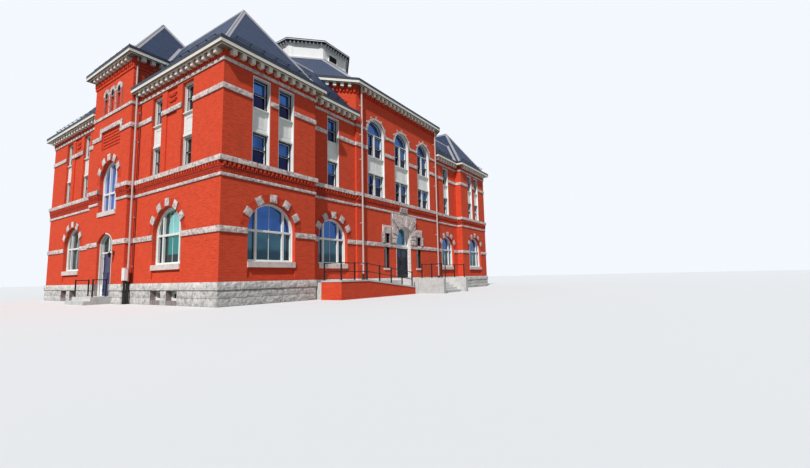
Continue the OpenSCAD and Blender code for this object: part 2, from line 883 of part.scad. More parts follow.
// Cornices and roofs
module west_tower_gap(z0, z1) {
    box([-tower_proj - eave - cut, tower_y0, z0], [wall_t + cut, tower_y1, z1]);
}
module cornice_boards() {
    color(cream) to_origin() {
        difference() {
            both_ends() ring(wing(eave), wing(-wall_t), wing_top, attic_top);
            west_tower_gap(wing_top - cut, attic_top + cut);
        }
    }
}
module hall_cornice_boards() {
    color(cream) to_origin() {
        ring(hall(eave), hall(-wall_t), hall_top, hall_eave_z);
        ring(tower(eave), tower(-wall_t), hall_top, hall_eave_z);
    }
}
module blocks_along(p, q, top) {
    run = norm(q - p);
    count = floor((run - 2 * modillion_w) / modillion_pitch);
    for (k = [0 : count])
        prism(plan_box(p, q, run / 2 + (k - count / 2) * modillion_pitch, modillion_w,
            modillion_out), top - modillion_h, top);
}
module link_roof_solids() {
    both_ends() front_and_rear() link_ridge_solid();
}
module cornice_blocks() {
    w = wing(0);
    h = hall(0);
    t = tower(0);
    pipe_room = [pipe_in + pipe_d, 0];
    color(cream) to_origin() difference() {
        union() {
            both_ends() for (i = [0, 2, 4, 6]) blocks_along(w[i], w[i + 1], wing_top);
            blocks_along([0, side_len], [0, tower_y1], wing_top);
            blocks_along([0, tower_y0 - 2 * pipe_off], [0, 0], wing_top);
            blocks_along([front_len, 0], [front_len, side_len], wing_top);
            blocks_along(h[0] + pipe_room, h[1] - pipe_room, hall_top);
            for (i = [1 : 7]) blocks_along(h[i], h[(i + 1) % 8], hall_top);
            for (i = [0, 2, 3]) blocks_along(t[i], t[(i + 1) % 4], hall_top);
        }
        both_ends() wing_hip();
        link_roof_solids();
    }
}
module brick_courses() {
    color(brick) to_origin() {
        difference() {
            band(string_z - 3 * corbel_h, corbel_h, corbel_out);
            tower_face() landing_cut();
            front_face(cx, bay_y) slot(surround_w / 3, thin_band_z, string_z, -surround_out, cut);
        }
        difference() {
            both_ends() ring(wing(corbel_out), wing(0), wing_top - modillion_h - corbel_h,
                wing_top - modillion_h);
            west_tower_gap(wing_top - modillion_h - corbel_h - cut, wing_top);
        }
        difference() {
            union() {
                ring(hall(corbel_out), hall(0), hall_top - modillion_h - corbel_h,
                    hall_top - modillion_h);
                ring(tower(corbel_out), tower(0), corbel_z, hall_top - modillion_h);
            }
            both_ends() wing_hip();
            link_roof_solids();
        }
    }
}
module gutters() {
    color(black) to_origin() {
        difference() {
            both_ends() ring(wing(eave), wing(eave_in), attic_top, attic_top + gutter_h);
            both_ends() ring(wing(eave - lip), wing(eave_in + lip),
                attic_top + lip, attic_top + gutter_h + cut);
            west_tower_gap(attic_top - cut, attic_top + gutter_h + 2 * cut);
        }
        difference() {
            ring(hall(eave), hall(eave_in), hall_eave_z, gutter_top);
            ring(hall(eave - lip), hall(eave_in + lip), hall_eave_z + lip, gutter_top + cut);
        }
        difference() {
            ring(tower(eave), tower(eave_in), hall_eave_z, gutter_top);
            ring(tower(eave - lip), tower(eave_in + lip), hall_eave_z + lip, gutter_top + cut);
        }
    }
}
// Ridge along x or y, from the eave level z0, with both slopes alike
module ridge_along_x(x0, x1, y0, y1, z0) {
    run = (y1 - y0) / 2;
    translate([x0, y0, z0]) rotate([90, 0, 90]) linear_extrude(x1 - x0)
        polygon([[0, 0], [2 * run, 0], [run, run * roof_slope]]);
}
module ridge_along_y(x0, x1, y0, y1, z0) {
    run = (x1 - x0) / 2;
    translate([x0, y1, z0]) rotate([90, 0, 0]) linear_extrude(y1 - y0)
        polygon([[0, 0], [2 * run, 0], [run, run * roof_slope]]);
}
module wing_hip() {
    intersection() {
        ridge_along_y(-eave_in, pav_w + eave_in, -eave_in, side_len + eave_in, attic_top);
        ridge_along_x(-eave_in, pav_w + eave_in, -eave_in, side_len + eave_in, attic_top);
    }
}
module tower_hip() {
    x0 = -tower_proj - eave_in;
    x1 = tower_x1 + eave_in;
    intersection() {
        ridge_along_y(x0, x1, tower_y0 - eave_in, tower_y1 + eave_in, hall_eave_z);
        ridge_along_x(x0, x1, tower_y0 - eave_in, tower_y1 + eave_in, hall_eave_z);
    }
}
module link_ridge_solid() {
    ridge_along_x(pav_w / 2, bay_x0, link_y - eave_in, link_y + eave_in + 2 * link_ridge, attic_top);
}
module hall_cone(drop) {
    hull() {
        prism(hall(eave_in), hall_eave_z - drop, hall_eave_z - drop + cut);
        prism(octagon(lantern_r + lantern_foot), lantern_z - drop - cut, lantern_z - drop);
    }
}
module wing_roofs() {
    color(slate) to_origin() difference() {
        both_ends() wing_hip();
        both_ends() translate([0, 0, -roof_t]) wing_hip();
        prism(hall(0), attic_top - cut, hall_top);
        box([-tower_proj, tower_y0, attic_top - cut], [tower_x1, tower_y1, hall_top + cut]);
        prism(tower(eave), hall_top, gutter_top);
        tower_hip();
    }
}
module link_roofs() {
    color(slate) to_origin() both_ends() front_and_rear() difference() {
        link_ridge_solid();
        translate([0, 0, -roof_t]) link_ridge_solid();
        wing_hip();
        prism(hall(0), attic_top - cut, hall_top + cut);
        prism(hall(eave), hall_top, lantern_z);
    }
}
module hall_roof() {
    color(slate) to_origin() difference() {
        hall_cone(0);
        hall_cone(roof_t);
    }
}
module tower_roof() {
    color(slate) to_origin() difference() {
        tower_hip();
        translate([0, 0, -roof_t]) tower_hip();
    }
}
module lantern_walls() {
    top = lantern_z + lantern_h;
    color(cream) to_origin() for (k = [0:7]) difference() {
        prism(octagon_side(k, lantern_side - 2 * lantern_fit, lantern_r - lantern_t, lantern_r),
            lantern_z, top);
        prism(octagon_side(k, lantern_side - 2 * stile_w, lantern_r - lantern_sink, lantern_r + cut),
            lantern_z + 2 * stile_w, top - stile_w);
    }
}
module lantern_posts() {
    color(cream) to_origin() difference() {
        ring(octagon(lantern_r), octagon(lantern_r - lantern_t), lantern_z, lantern_z + lantern_h);
        for (k = [0:7])
            prism(octagon_side(k, lantern_side, lantern_r - 2 * lantern_t, lantern_r + cut),
                lantern_z - cut, lantern_z + lantern_h + cut);
    }
}
module lantern_cap(r, z0, edge) {
    hull() {
        prism(octagon(r), z0, z0 + edge);
        prism(octagon(lantern_foot), z0 + edge, z0 + edge + lantern_rise);
    }
}
module lantern_roof() {
    color(slate) to_origin() difference() {
        lantern_cap(lantern_r + lantern_eave, lantern_z + lantern_h, lantern_edge);
        lantern_cap(lantern_r - lantern_t, lantern_z + lantern_h - lantern_edge - cut, lantern_edge);
    }
}

// Windows
module upright_bar(x, z0, z1) {
    translate([x, 0, 0]) slot(bar_w, z0, z1, reveal, reveal + frame_t);
}
module cross_bar(w, z, h) {
    slot(w, z - h / 2, z + h / 2, reveal, reveal + frame_t);
}
module arch_frame(w, z0, spring, xs, top, transom, rails = []) {
    difference() {
        arch_solid(w, z0, spring, reveal, reveal + frame_t);
        difference() {
            arch_solid(w - 2 * bar_w, z0 + bar_w, spring, reveal - cut, reveal + frame_t + cut);
            for (x = xs) upright_bar(x, z0, top);
            cross_bar(w, transom, bar_w);
            for (z = rails) cross_bar(w, z, rail_w);
        }
    }
}
module box_frame(w, z0, z1, xs, rails) {
    difference() {
        slot(w, z0, z1, reveal, reveal + frame_t);
        difference() {
            slot(w - 2 * bar_w, z0 + bar_w, z1 - bar_w, reveal - cut, reveal + frame_t + cut);
            for (x = xs) upright_bar(x, z0, z1);
            for (z = rails) cross_bar(w, z, rail_w);
        }
    }
}
module arch_pane(w, z0, spring) {
    arch_solid(w, z0, spring, reveal + frame_t, reveal + frame_t + glass_t);
}
module box_pane(w, z0, z1) {
    slot(w, z0, z1, reveal + frame_t, reveal + frame_t + glass_t);
}
module lower_frame(w) {
    m = w / 2 - bar_w - side_pane_w - bar_w / 2;
    arch_frame(w, arch_sill, arch_spring, [-m, m], arch_spring + w, arch_spring);
}
module slit_places() {
    front_face(cx, bay_y) pair(slit_axis) children();
}
module lower_frames() {
    color(cream) to_origin() {
        at_pavilions() lower_frame(arch_w);
        at_sides() lower_frame(arch_w);
        at_links() lower_frame(link_arch_w);
        at_rear_bays() lower_frame(link_arch_w);
        slit_places() box_frame(slit_w, slit_sill, mid_band_z, [], []);
        slit_places() box_frame(slit_w, mid_band_top, slit_head, [], []);
        at_cellars() box_frame(cellar_w, cellar_sill, cellar_sill + cellar_h, [0], []);
    }
}
module lower_glass() {
    color(pane_blue) to_origin() {
        at_pavilions() arch_pane(arch_w, arch_sill, arch_spring);
        at_sides() arch_pane(arch_w, arch_sill, arch_spring);
        at_links() arch_pane(link_arch_w, arch_sill, arch_spring);
        at_rear_bays() arch_pane(link_arch_w, arch_sill, arch_spring);
        slit_places() box_pane(slit_w, slit_sill, mid_band_z);
        slit_places() box_pane(slit_w, mid_band_top, slit_head);
        at_cellars() box_pane(cellar_w, cellar_sill, cellar_sill + cellar_h);
        front_face(cx, bay_y) arch_pane(portal_w, mid_band_z, portal_spring);
        tower_face() {
            segment_solid(side_door_w, side_door_head, side_door_spring, side_door_rise,
                reveal + frame_t, reveal + frame_t + glass_t);
            box([-side_door_w / 2, reveal + frame_t, side_step + side_panel_h],
                [side_light_x1 + jamb_w / 2, reveal + frame_t + glass_t, side_door_head]);
        }
    }
}
module bay_frame_set() {
    box_frame(bay_win_w, string_top, sash_2_head, [-bar_w / 2, bar_w / 2],
        [(string_top + sash_2_head) / 2]);
    arch_frame(bay_win_w, sash_3_sill, bay_spring, [-bar_w / 2, bar_w / 2], bay_spring,
        bay_spring - bar_w / 2, [(sash_3_sill + sash_3_head) / 2]);
}
module upper_frames() {
    color(cream) to_origin() {
        at_columns() box_frame(sash_w, string_top, sash_2_head, [],
            [(string_top + sash_2_head) / 2]);
        at_columns() box_frame(sash_w, sash_3_sill, sash_3_head, [],
            [(sash_3_sill + sash_3_head) / 2]);
        at_front_bays() bay_frame_set();
        at_rear_bays() bay_frame_set();
        tower_face() arch_frame(landing_w, landing_sill, landing_spring,
            [-landing_w / 6, landing_w / 6], landing_spring + landing_w, landing_transom);
        at_lights() difference() {
            disc(light_d, light_spring, reveal, reveal + frame_t);
            disc(light_d - 2 * rail_w, light_spring, reveal - cut, reveal + frame_t + cut);
        }
    }
}
module upper_glass() {
    color(pane_blue) to_origin() {
        at_columns() box_pane(sash_w, string_top, sash_2_head);
        at_columns() box_pane(sash_w, sash_3_sill, sash_3_head);
        at_front_bays() box_pane(bay_win_w, string_top, sash_2_head);
        at_rear_bays() box_pane(bay_win_w, string_top, sash_2_head);
        at_front_bays() arch_pane(bay_win_w, sash_3_sill, bay_spring);
        at_rear_bays() arch_pane(bay_win_w, sash_3_sill, bay_spring);
        tower_face() arch_pane(landing_w, landing_sill, landing_spring);
        at_lights() disc(light_d, light_spring, reveal + frame_t, reveal + frame_t + glass_t);
    }
}
// Panel between two windows, sunk between its stiles, with a nosing at the head and foot
module spandrel(w) {
    face = reveal - panel_t;
    difference() {
        slot(w, sash_2_head, sash_3_sill, face, reveal);
        slot(w - 2 * bar_w, sash_2_head + 2 * bar_w, sash_3_sill - 2 * bar_w, face - cut,
            face + panel_sink);
    }
    slot(w, sash_3_sill - rail_w, sash_3_sill, face - 2 * rail_w, face);
    slot(w, sash_2_head, sash_2_head + bar_w, face - rail_w, face);
}
module spandrel_panels() {
    color([0.74, 0.80, 0.86]) to_origin() {
        at_columns() spandrel(sash_w);
        at_front_bays() spandrel(bay_win_w);
        at_rear_bays() spandrel(bay_win_w);
    }
}

// Doors
module entrance_frame() {
    color(cream) to_origin() for (side = [-1, 1]) front_leaf_place(side)
        at_hinges(leaf_h) hinge_seat(0);
    color(cream) to_origin() front_face(cx, bay_y) difference() {
        arch_solid(portal_w, wall_foot, portal_spring, reveal, reveal + frame_t);
        slot(portal_w - 2 * jamb_w, wall_foot - cut, mid_band_z, reveal - cut, wall_t);
        difference() {
            arch_solid(portal_w - 2 * jamb_w, mid_band_top, portal_spring, reveal - cut, wall_t);
            for (x = [-fan_bar, fan_bar]) upright_bar(x, mid_band_top, portal_spring + portal_w);
        }
    }
}
module side_door_frame() {
    color(cream) to_origin() for (side = [-1, 1]) side_leaf_place(side)
        at_hinges(side_leaf_h) hinge_seat(0);
    color(cream) to_origin() tower_face() difference() {
        segment_solid(side_door_w, side_step, side_door_spring, side_door_rise,
            reveal, reveal + frame_t);
        box([side_light_x1 + jamb_w, reveal - cut, side_step - cut],
            [side_door_w / 2 - jamb_w, wall_t, side_door_head]);
        box([side_light_x0, reveal - cut, side_step + side_panel_h],
            [side_light_x1, reveal + frame_t + cut, side_door_head]);
        difference() {
            segment_solid(side_door_w - 2 * jamb_w, side_door_head + jamb_w, side_door_spring,
                side_door_rise - jamb_w, reveal - cut, reveal + frame_t + cut);
            slot(bar_w, side_door_head, side_door_spring + side_door_rise, reveal, wall_t);
        }
    }
}
// Lift-off hinge at the edge of a leaf: the frame's half carries the pin
module hinge_seat(z) {
    translate([-door_gap / 2, -knuckle_r, z]) {
        cylinder(r = knuckle_r, h = hinge_h);
        cylinder(r = hinge_pin_r, h = 2 * hinge_h - 5);
        translate([-hinge_plate[0], knuckle_r - hinge_plate[1], 0])
            cube([hinge_plate[0], hinge_plate[1], hinge_h]);
    }
}
module hinge_knuckle(z) {
    translate([-door_gap / 2, -knuckle_r, z + hinge_h + pin_gap]) difference() {
        union() {
            cylinder(r = knuckle_r, h = hinge_h);
            translate([0, knuckle_r - hinge_plate[1], 0])
                cube([hinge_plate[0], hinge_plate[1], hinge_h]);
        }
        translate([0, 0, -cut]) cylinder(r = hinge_pin_r + pin_gap, h = hinge_h + 2 * cut);
    }
}
module at_hinges(h) {
    for (z = [h / 10, h / 2, h - h / 10 - 2 * hinge_h]) translate([0, 0, z]) children();
}
module pull_bar(x, z0, z1) {
    translate([x, -pull_out, z0]) cylinder(d = pull_d, h = z1 - z0);
    for (z = [z0 + pull_out, z1 - pull_out])
        translate([x, -pull_out, z]) rotate([-90, 0, 0]) cylinder(d = pull_d / 2, h = pull_out);
}
// Leaf from its hinge edge at x = 0, with its outer face at y = 0
module glazed_leaf(w, h, foot) {
    difference() {
        cube([w, leaf_t, h]);
        translate([stile_w, -cut, foot]) cube([w - 2 * stile_w, leaf_t + 2 * cut, h - foot - stile_w]);
    }
    translate([stile_w, (leaf_t - glass_t) / 2, foot])
        cube([w - 2 * stile_w, glass_t, h - foot - stile_w]);
    pull_bar(w - stile_w / 2, pull_low, pull_low + pull_len);
    at_hinges(h) hinge_knuckle(0);
}
module panelled_leaf(w, h) {
    rows = [[2 * stile_w, pull_low], [pull_low + 2 * stile_w, h - stile_w]];
    difference() {
        cube([w, leaf_t, h]);
        for (r = rows, y = [-cut, leaf_t - panel_sink]) translate([stile_w, y, r[0]])
            cube([w - 2 * stile_w, panel_sink + cut, r[1] - r[0]]);
    }
    pull_bar(w - stile_w / 2, pull_low, pull_low + pull_len);
    at_hinges(h) hinge_knuckle(0);
}
// Places of the hinge edges of the leaves, on the outer face of the frames
module front_leaf_place(side) {
    front_face(cx + side * (leaf_w + door_gap / 2), bay_y)
        translate([0, reveal, wall_foot + door_gap]) mirror([side > 0 ? 1 : 0, 0, 0]) children();
}
module side_leaf_place(side) {
    tower_face() translate([side_leaf_x + (side > 0 ? 2 * side_leaf_w + door_gap : 0), reveal,
        side_step + door_gap]) mirror([side > 0 ? 1 : 0, 0, 0]) children();
}
module front_door_left() {
    color(black) to_origin() front_leaf_place(-1) glazed_leaf(leaf_w, leaf_h, 2 * stile_w);
}
module front_door_right() {
    color(black) to_origin() front_leaf_place(1) glazed_leaf(leaf_w, leaf_h, 2 * stile_w);
}
module side_door_left() {
    color(navy) to_origin() side_leaf_place(-1) panelled_leaf(side_leaf_w, side_leaf_h);
}
module side_door_right() {
    color(navy) to_origin() side_leaf_place(1) panelled_leaf(side_leaf_w, side_leaf_h);
}

// Pipes, terrace and railings
module downspout(z0, z1) {
    levels = [arch_sill, (mid_band_top + thin_band_z) / 2, floor_3,
        (third_band_z + third_band_h + top_band_z) / 2, (top_band_z + top_band_h + hall_top) / 2];
    translate([0, -pipe_off, z0]) cylinder(d = pipe_d, h = z1 - z0);
    for (z = levels) if (z < z1) translate([-pipe_d / 4, -pipe_off, z])
        cube([pipe_d / 2, pipe_off, pipe_d / 2]);
}
module downspouts() {
    color(granite) to_origin() {
        front_face(bay_x0 + pipe_in, bay_y) downspout(turn_h, hall_top);
        front_face(bay_x1 - pipe_in, bay_y) downspout(0, hall_top);
        west_face(tower_y0 - pipe_off, 0) downspout(0, wing_top);
    }
}
module slope_wall(drop, out, thick) {
    translate([0, -terrace_out + ramp_wall_t + out, 0]) rotate([90, 0, 0])
        linear_extrude(ramp_wall_t + 2 * out) polygon([
            [turn_x0 - out, terrace_h - drop - thick], [turn_x1, terrace_h - drop - thick],
            [ramp_x1 + out, ramp_wall_low - drop - thick], [ramp_x1 + out, ramp_wall_low - drop],
            [turn_x1, terrace_h - drop], [turn_x0 - out, terrace_h - drop]]);
}
module ramp_walls() {
    color(brick) to_origin() {
        translate([0, -terrace_out + ramp_wall_t, 0]) rotate([90, 0, 0])
            linear_extrude(ramp_wall_t) polygon([[turn_x0, 0], [ramp_x1, 0],
                [ramp_x1, ramp_wall_low - cap_h], [turn_x1, terrace_h - cap_h],
                [turn_x0, terrace_h - cap_h]]);
        box([turn_x0, -terrace_out + ramp_wall_t - cut, 0],
            [turn_x0 + ramp_wall_t, return_y, terrace_h - cap_h]);
    }
}
module ramp_caps() {
    color(granite) to_origin() {
        slope_wall(0, cap_out, cap_h);
        box([turn_x0 - cap_out, -terrace_out + ramp_wall_t, terrace_h - cap_h],
            [turn_x0 + ramp_wall_t + cap_out, return_y, terrace_h]);
    }
}
module ramp() {
    y0 = -terrace_out + ramp_wall_t;
    x0 = turn_x0 + ramp_wall_t;
    color([0.62, 0.60, 0.58]) to_origin() {
        translate([0, return_y, 0]) rotate([90, 0, 0]) linear_extrude(return_y - y0)
            polygon([[x0, 0], [ramp_x1, 0], [ramp_x1, ramp_low], [turn_x1, turn_h], [x0, turn_h]]);
        box([x0, return_y - cut, 0], [bay_x0 - ledge_out, link_y - ledge_out, turn_h]);
        box([bay_x0 - ledge_out - cut, return_y, 0], [landing_x0, wall_face, turn_h]);
    }
}
module landing() {
    color([0.62, 0.60, 0.58]) to_origin()
        box([landing_x0, -landing_out, 0], [landing_x1, wall_face, terrace_h]);
}
module front_steps() {
    rise = terrace_h / (steps_n + 1);
    color(granite) to_origin() for (k = [1 : steps_n])
        box([cx - steps_w / 2, -landing_out - k * tread, 0],
            [cx + steps_w / 2, -landing_out - (k - 1) * tread, terrace_h - k * rise]);
}
module cheek_walls() {
    color([0.75, 0.73, 0.70]) to_origin() translate([cx, 0, 0]) for (s = [-1, 1])
        translate([s * (steps_w + cheek_t) / 2, 0, 0])
            box([-cheek_t / 2, cheek_y, 0], [cheek_t / 2, -landing_out, terrace_h]);
}
module post(x, y, z0, z1) {
    box([x - post_w / 2, y - post_w / 2, z0], [x + post_w / 2, y + post_w / 2, z1 + rail_d]);
}
// Tube from point p to point q
module tube(p, q) {
    d = q - p;
    translate(p) rotate([0, acos(d[2] / norm(d)), atan2(d[1], d[0])])
        cylinder(d = rail_d, h = norm(d));
}
module railings() {
    y = -terrace_out + ramp_wall_t / 2;
    xa = turn_x0 + ramp_wall_t / 2;
    fall = (terrace_h - ramp_wall_low) / (ramp_x1 - turn_x1);
    xe = ramp_x1 - 2 * rail_in;
    ze = terrace_h - fall * (xe - turn_x1);
    color(black) to_origin() {
        difference() {
            union() {
                for (h = [rail_h, rail_h / 2]) {
                    tube([xa, y, terrace_h + h], [turn_x1, y, terrace_h + h]);
                    tube([turn_x1, y, terrace_h + h], [xe, y, ze + h]);
                    tube([xa, y, terrace_h + h], [xa, return_y - rail_in, terrace_h + h]);
                }
                for (x = [xa, (xa + turn_x1) / 2, turn_x1])
                    post(x, y, terrace_h - cap_h / 2, terrace_h + rail_h);
                for (k = [1 : 4]) {
                    x = turn_x1 + k * (xe - turn_x1) / 4;
                    post(x, y, terrace_h - fall * (x - turn_x1) - cap_h / 2,
                        terrace_h - fall * (x - turn_x1) + rail_h);
                }
                post(xa, return_y - rail_in, terrace_h - cap_h / 2, terrace_h + rail_h);
            }
            slope_wall(0, cap_out, cap_h);
            box([turn_x0 - cap_out, -terrace_out, terrace_h - cap_h],
                [turn_x0 + ramp_wall_t + cap_out, return_y, terrace_h]);
        }
        for (s = [-1, 1]) {
            x = cx + s * (steps_w + cheek_t) / 2;
            y0 = cheek_y + 2 * rail_in;
            y1 = -landing_out - 2 * rail_in;
            for (v = [y0, (y0 + y1) / 2, y1]) post(x, v, terrace_h, terrace_h + rail_h);
            tube([x, y0, terrace_h + rail_h], [x, y1, terrace_h + rail_h]);
        }
        tower_face() for (x = [-1, 1] * (stoop_w / 2 - rail_in)) {
            y0 = -base_out - 2 * rail_in;
            y1 = -base_out - stoop_len + 4 * rail_in;
            for (v = [y0, y1]) post(x, v, side_step, side_step + rail_h);
            tube([x, y0, side_step + rail_h], [x, y1, side_step + rail_h]);
        }
    }
}
module side_stoop() {
    color(granite) to_origin() tower_face() {
        slot(stoop_w, 0, side_step, -base_out - stoop_len + tread, -base_out);
        slot(stoop_w, 0, side_step / 2, -base_out - stoop_len, -base_out - stoop_len + tread + cut);
    }
}

foundation();
water_table();
tower_base();
basement_floor();
stair_floor();
main_floor();
second_floor();
third_floor();
attic_floor();
hall_ceiling();
pavilion_walls();
link_walls();
bay_wall_left();
bay_wall_right();
bay_wall_over();
rear_bay_wall();
west_walls();
tower_wall_beside();
tower_wall_over();
tower_upper_walls();
east_wall();
hall_upper_walls();
granite_bands();
string_course();
arch_stones();
window_sills();
portal_surround();
brick_courses();
cornice_blocks();
cornice_boards();
hall_cornice_boards();
gutters();
wing_roofs();
link_roofs();
hall_roof();
tower_roof();
lantern_walls();
lantern_posts();
lantern_roof();
lower_frames();
upper_frames();
lower_glass();
upper_glass();
spandrel_panels();
entrance_frame();
side_door_frame();
front_door_left();
front_door_right();
side_door_left();
side_door_right();
downspouts();
ramp();
ramp_walls();
ramp_caps();
landing();
front_steps();
cheek_walls();
railings();
side_stoop();
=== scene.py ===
import math
import random

import bmesh
import bpy
from mathutils import Matrix, Vector


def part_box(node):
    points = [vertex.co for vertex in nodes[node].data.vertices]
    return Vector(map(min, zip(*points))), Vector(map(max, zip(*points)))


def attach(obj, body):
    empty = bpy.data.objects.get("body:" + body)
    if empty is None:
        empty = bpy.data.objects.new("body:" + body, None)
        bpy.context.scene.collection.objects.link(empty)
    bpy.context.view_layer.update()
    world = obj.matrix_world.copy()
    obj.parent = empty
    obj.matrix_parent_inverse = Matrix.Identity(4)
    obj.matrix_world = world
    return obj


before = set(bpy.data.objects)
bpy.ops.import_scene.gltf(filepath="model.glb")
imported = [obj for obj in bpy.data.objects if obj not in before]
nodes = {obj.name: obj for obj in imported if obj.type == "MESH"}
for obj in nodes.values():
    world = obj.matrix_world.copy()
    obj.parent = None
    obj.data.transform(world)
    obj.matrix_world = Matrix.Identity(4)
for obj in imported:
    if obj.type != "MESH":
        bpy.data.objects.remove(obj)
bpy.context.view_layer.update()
random.seed(1893)

# Plan in metres, measured from the south-west corner of the brick walls.
CORNER = Vector((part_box("pavilion_walls")[0].x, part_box("pavilion_walls")[0].y, 0))
FRONT = 29.5
DEPTH = 21.4
PAVILION = 5.5
LINK_Y = 0.55
BAY_X = 9.5
BAY_Y = 0.43
TOWER_X = -0.35
TOWER_BACK = 4.75
TOWER_0 = 8.15
TOWER_1 = 13.25
MID_X = FRONT / 2
MID_Y = DEPTH / 2
LINK_WINDOW_X = (PAVILION + BAY_X) / 2
BAY_PITCH = 3.15
SIDE_PITCH = 6.2
GUTTER_OUT = 0.45
BOARD_OUT = 0.33
ROOF_OUT = 0.25
TAN = math.tan(math.pi / 8)

# Levels of the courses, arches, sashes and eaves. A sash has its foot, its head and its meeting rail.
LEDGE_Z = 0.70
WALL_FOOT = 1.06
BAND_1 = (3.20, 3.48)
BAND_2 = (5.66, 5.82)
STRING = (6.33, 6.58)
BAND_3 = (9.63, 9.90)
BAND_4 = (10.93, 11.12)
ARCH_SPRING = 3.42
PORTAL_SPRING = 3.85
LANDING_Z = 5.20
LANDING_SPRING = 6.95
BAY_SPRING = 10.98
LIGHT_Z = 12.28
SASHES = ((6.612, 8.118, 7.365), (9.362, 10.80, 10.09))
WING_SOFFIT = 11.48
WING_EAVE = 11.62
HALL_SOFFIT = 13.70
HALL_EAVE = 13.84
LANTERN_FOOT = 19.5
LANTERN_EAVE = 20.95
TOP_Z = 22.2

# How far the courses stand out, and how a rock-faced stone is divided and set.
BASE_OUT = 0.04
LEDGE_OUT = 0.08
BAND_OUT = 0.045
STRING_OUT = 0.12
STONE_GRID = (0.15, 0.12)
STONE_GAP = 0.004

# Half widths of the openings, spacing of the tower lights and turns of the blocks around an arch.
WIDE_ARCH = 1.375
SMALL_ARCH = 1.2
BAY_HALF = 0.95
COLUMN_HALF = 0.5
SIDE_DOOR_HALF = 1.0
PORTAL_HALF = 0.95
LIGHT_PITCH = 0.86
BLOCK_TURNS = (-60, -30, 0, 30, 60)


def flipped(points):
    """The same points at the other end of the front."""
    return [(FRONT - x, y) for x, y in reversed(points)]


def turned(points):
    """The same points on the opposite side of the building."""
    return [(FRONT - x, DEPTH - y) for x, y in points]


def outline(d):
    """Outer wall faces of the whole building, moved outward by d."""
    side, link, bay = PAVILION + d, LINK_Y - d, BAY_X - d
    half = [(-d, -d), (side, -d), (side, link), (bay, link), (bay, BAY_Y - d)]
    south = half + flipped(half)
    west_side = [(-d, TOWER_1 + d), (TOWER_X - d, TOWER_1 + d), (TOWER_X - d, TOWER_0 - d), (-d, TOWER_0 - d)]
    return south + turned(south) + west_side


def hall_outline(d):
    """Octagon of the central hall, moved outward by d."""
    half = [(PAVILION - d, BAY_Y + BAY_X - PAVILION - d * TAN), (BAY_X - d * TAN, BAY_Y - d)]
    south = half + flipped(half)
    return south + turned(south)


def tower_outline(d):
    """Outer faces of the stair tower, moved outward by d."""
    back = min(TOWER_BACK + d, PAVILION - GUTTER_OUT)
    return [(TOWER_X - d, TOWER_0 - d), (back, TOWER_0 - d), (back, TOWER_1 + d), (TOWER_X - d, TOWER_1 + d)]


def octagon(r):
    """Regular octagon of the lantern, with half width r."""
    reach = r / math.cos(math.pi / 8)
    turns = [math.radians(22.5 + 45 * k) for k in range(-4, 4)]
    return [(MID_X + reach * math.cos(a), MID_Y + reach * math.sin(a)) for a in turns]


def face(x, y, right):
    """Frame of a wall: x runs to the right seen from outside, y inward and z up."""
    r = Vector((right[0], right[1], 0)).normalized()
    inward = Vector((-r.y, r.x, 0))
    m = Matrix((r, inward, Vector((0, 0, 1)))).transposed().to_4x4()
    m.translation = CORNER + Vector((x, y, 0))
    return m


def front(x, y=0.0):
    return face(x, y, (1, 0))


def rear(x, y=0.0):
    return face(x, DEPTH - y, (-1, 0))


def west(y, x=0.0):
    return face(x, y, (0, -1))


def east(y):
    return face(FRONT, y, (0, 1))


def shifted(faces, *distances):
    """Each wall frame moved along its wall by each distance."""
    return [m @ Matrix.Translation((x, 0, 0)) for m in faces for x in distances]


def span(side, a, b):
    """Limits in x of something between a and b from the middle, on one side of it."""
    return sorted((side * a, side * b))


def half_turn(count, gap=0.0):
    """Equal parts of a half turn, as pairs of angles with a gap at both ends."""
    for k in range(count):
        yield math.pi * k / count + gap, math.pi * (k + 1) / count - gap


def spoke(m, z, angle):
    """Wall frame moved up to z and turned there, so that its z axis runs out from an arch's centre."""
    return m @ Matrix.Translation((0, 0, z)) @ Matrix.Rotation(angle, 4, "Y")


def closed_lines(points):
    return list(zip(points, points[1:] + points[:1]))


def wing_lines(d):
    """Lines of the wings' eaves, moved outward by d, each with the outside on its right."""
    side, link = PAVILION + d, LINK_Y - d
    south = [((-d, -d), (side, -d)), ((side, -d), (side, link)), ((side, link), (BAY_X, link))]
    north = [((BAY_X, DEPTH - link), (side, DEPTH - link)), ((side, DEPTH - link), (side, DEPTH + d)),
             ((side, DEPTH + d), (-d, DEPTH + d))]
    half = south + north
    west_side = [((-d, DEPTH + d), (-d, TOWER_1)), ((-d, TOWER_0), (-d, -d))]
    east_side = [((FRONT + d, -d), (FRONT + d, DEPTH + d))]
    return half + [tuple(turned(line)) for line in half] + west_side + east_side


def walls(lines):
    """Wall frame at the start of each line, and the line's length."""
    for (x0, y0), (x1, y1) in lines:
        yield face(x0, y0, (x1 - x0, y1 - y0)), math.dist((x0, y0), (x1, y1))


def free_runs(m, length, openings):
    """Stretches of a wall line that no opening cuts."""
    cuts = []
    for place, half in openings:
        p = m.inverted() @ place.translation
        same_way = m.to_3x3().col[0].dot(place.to_3x3().col[0]) > 0.9
        if abs(p.y) < 0.3 and same_way and -half < p.x < length + half:
            cuts.append((p.x - half, p.x + half))
    start = 0.0
    for a, b in sorted(cuts) + [(length, length)]:
        if a - start > 0.02:
            yield start, min(a, length)
        start = max(start, b)


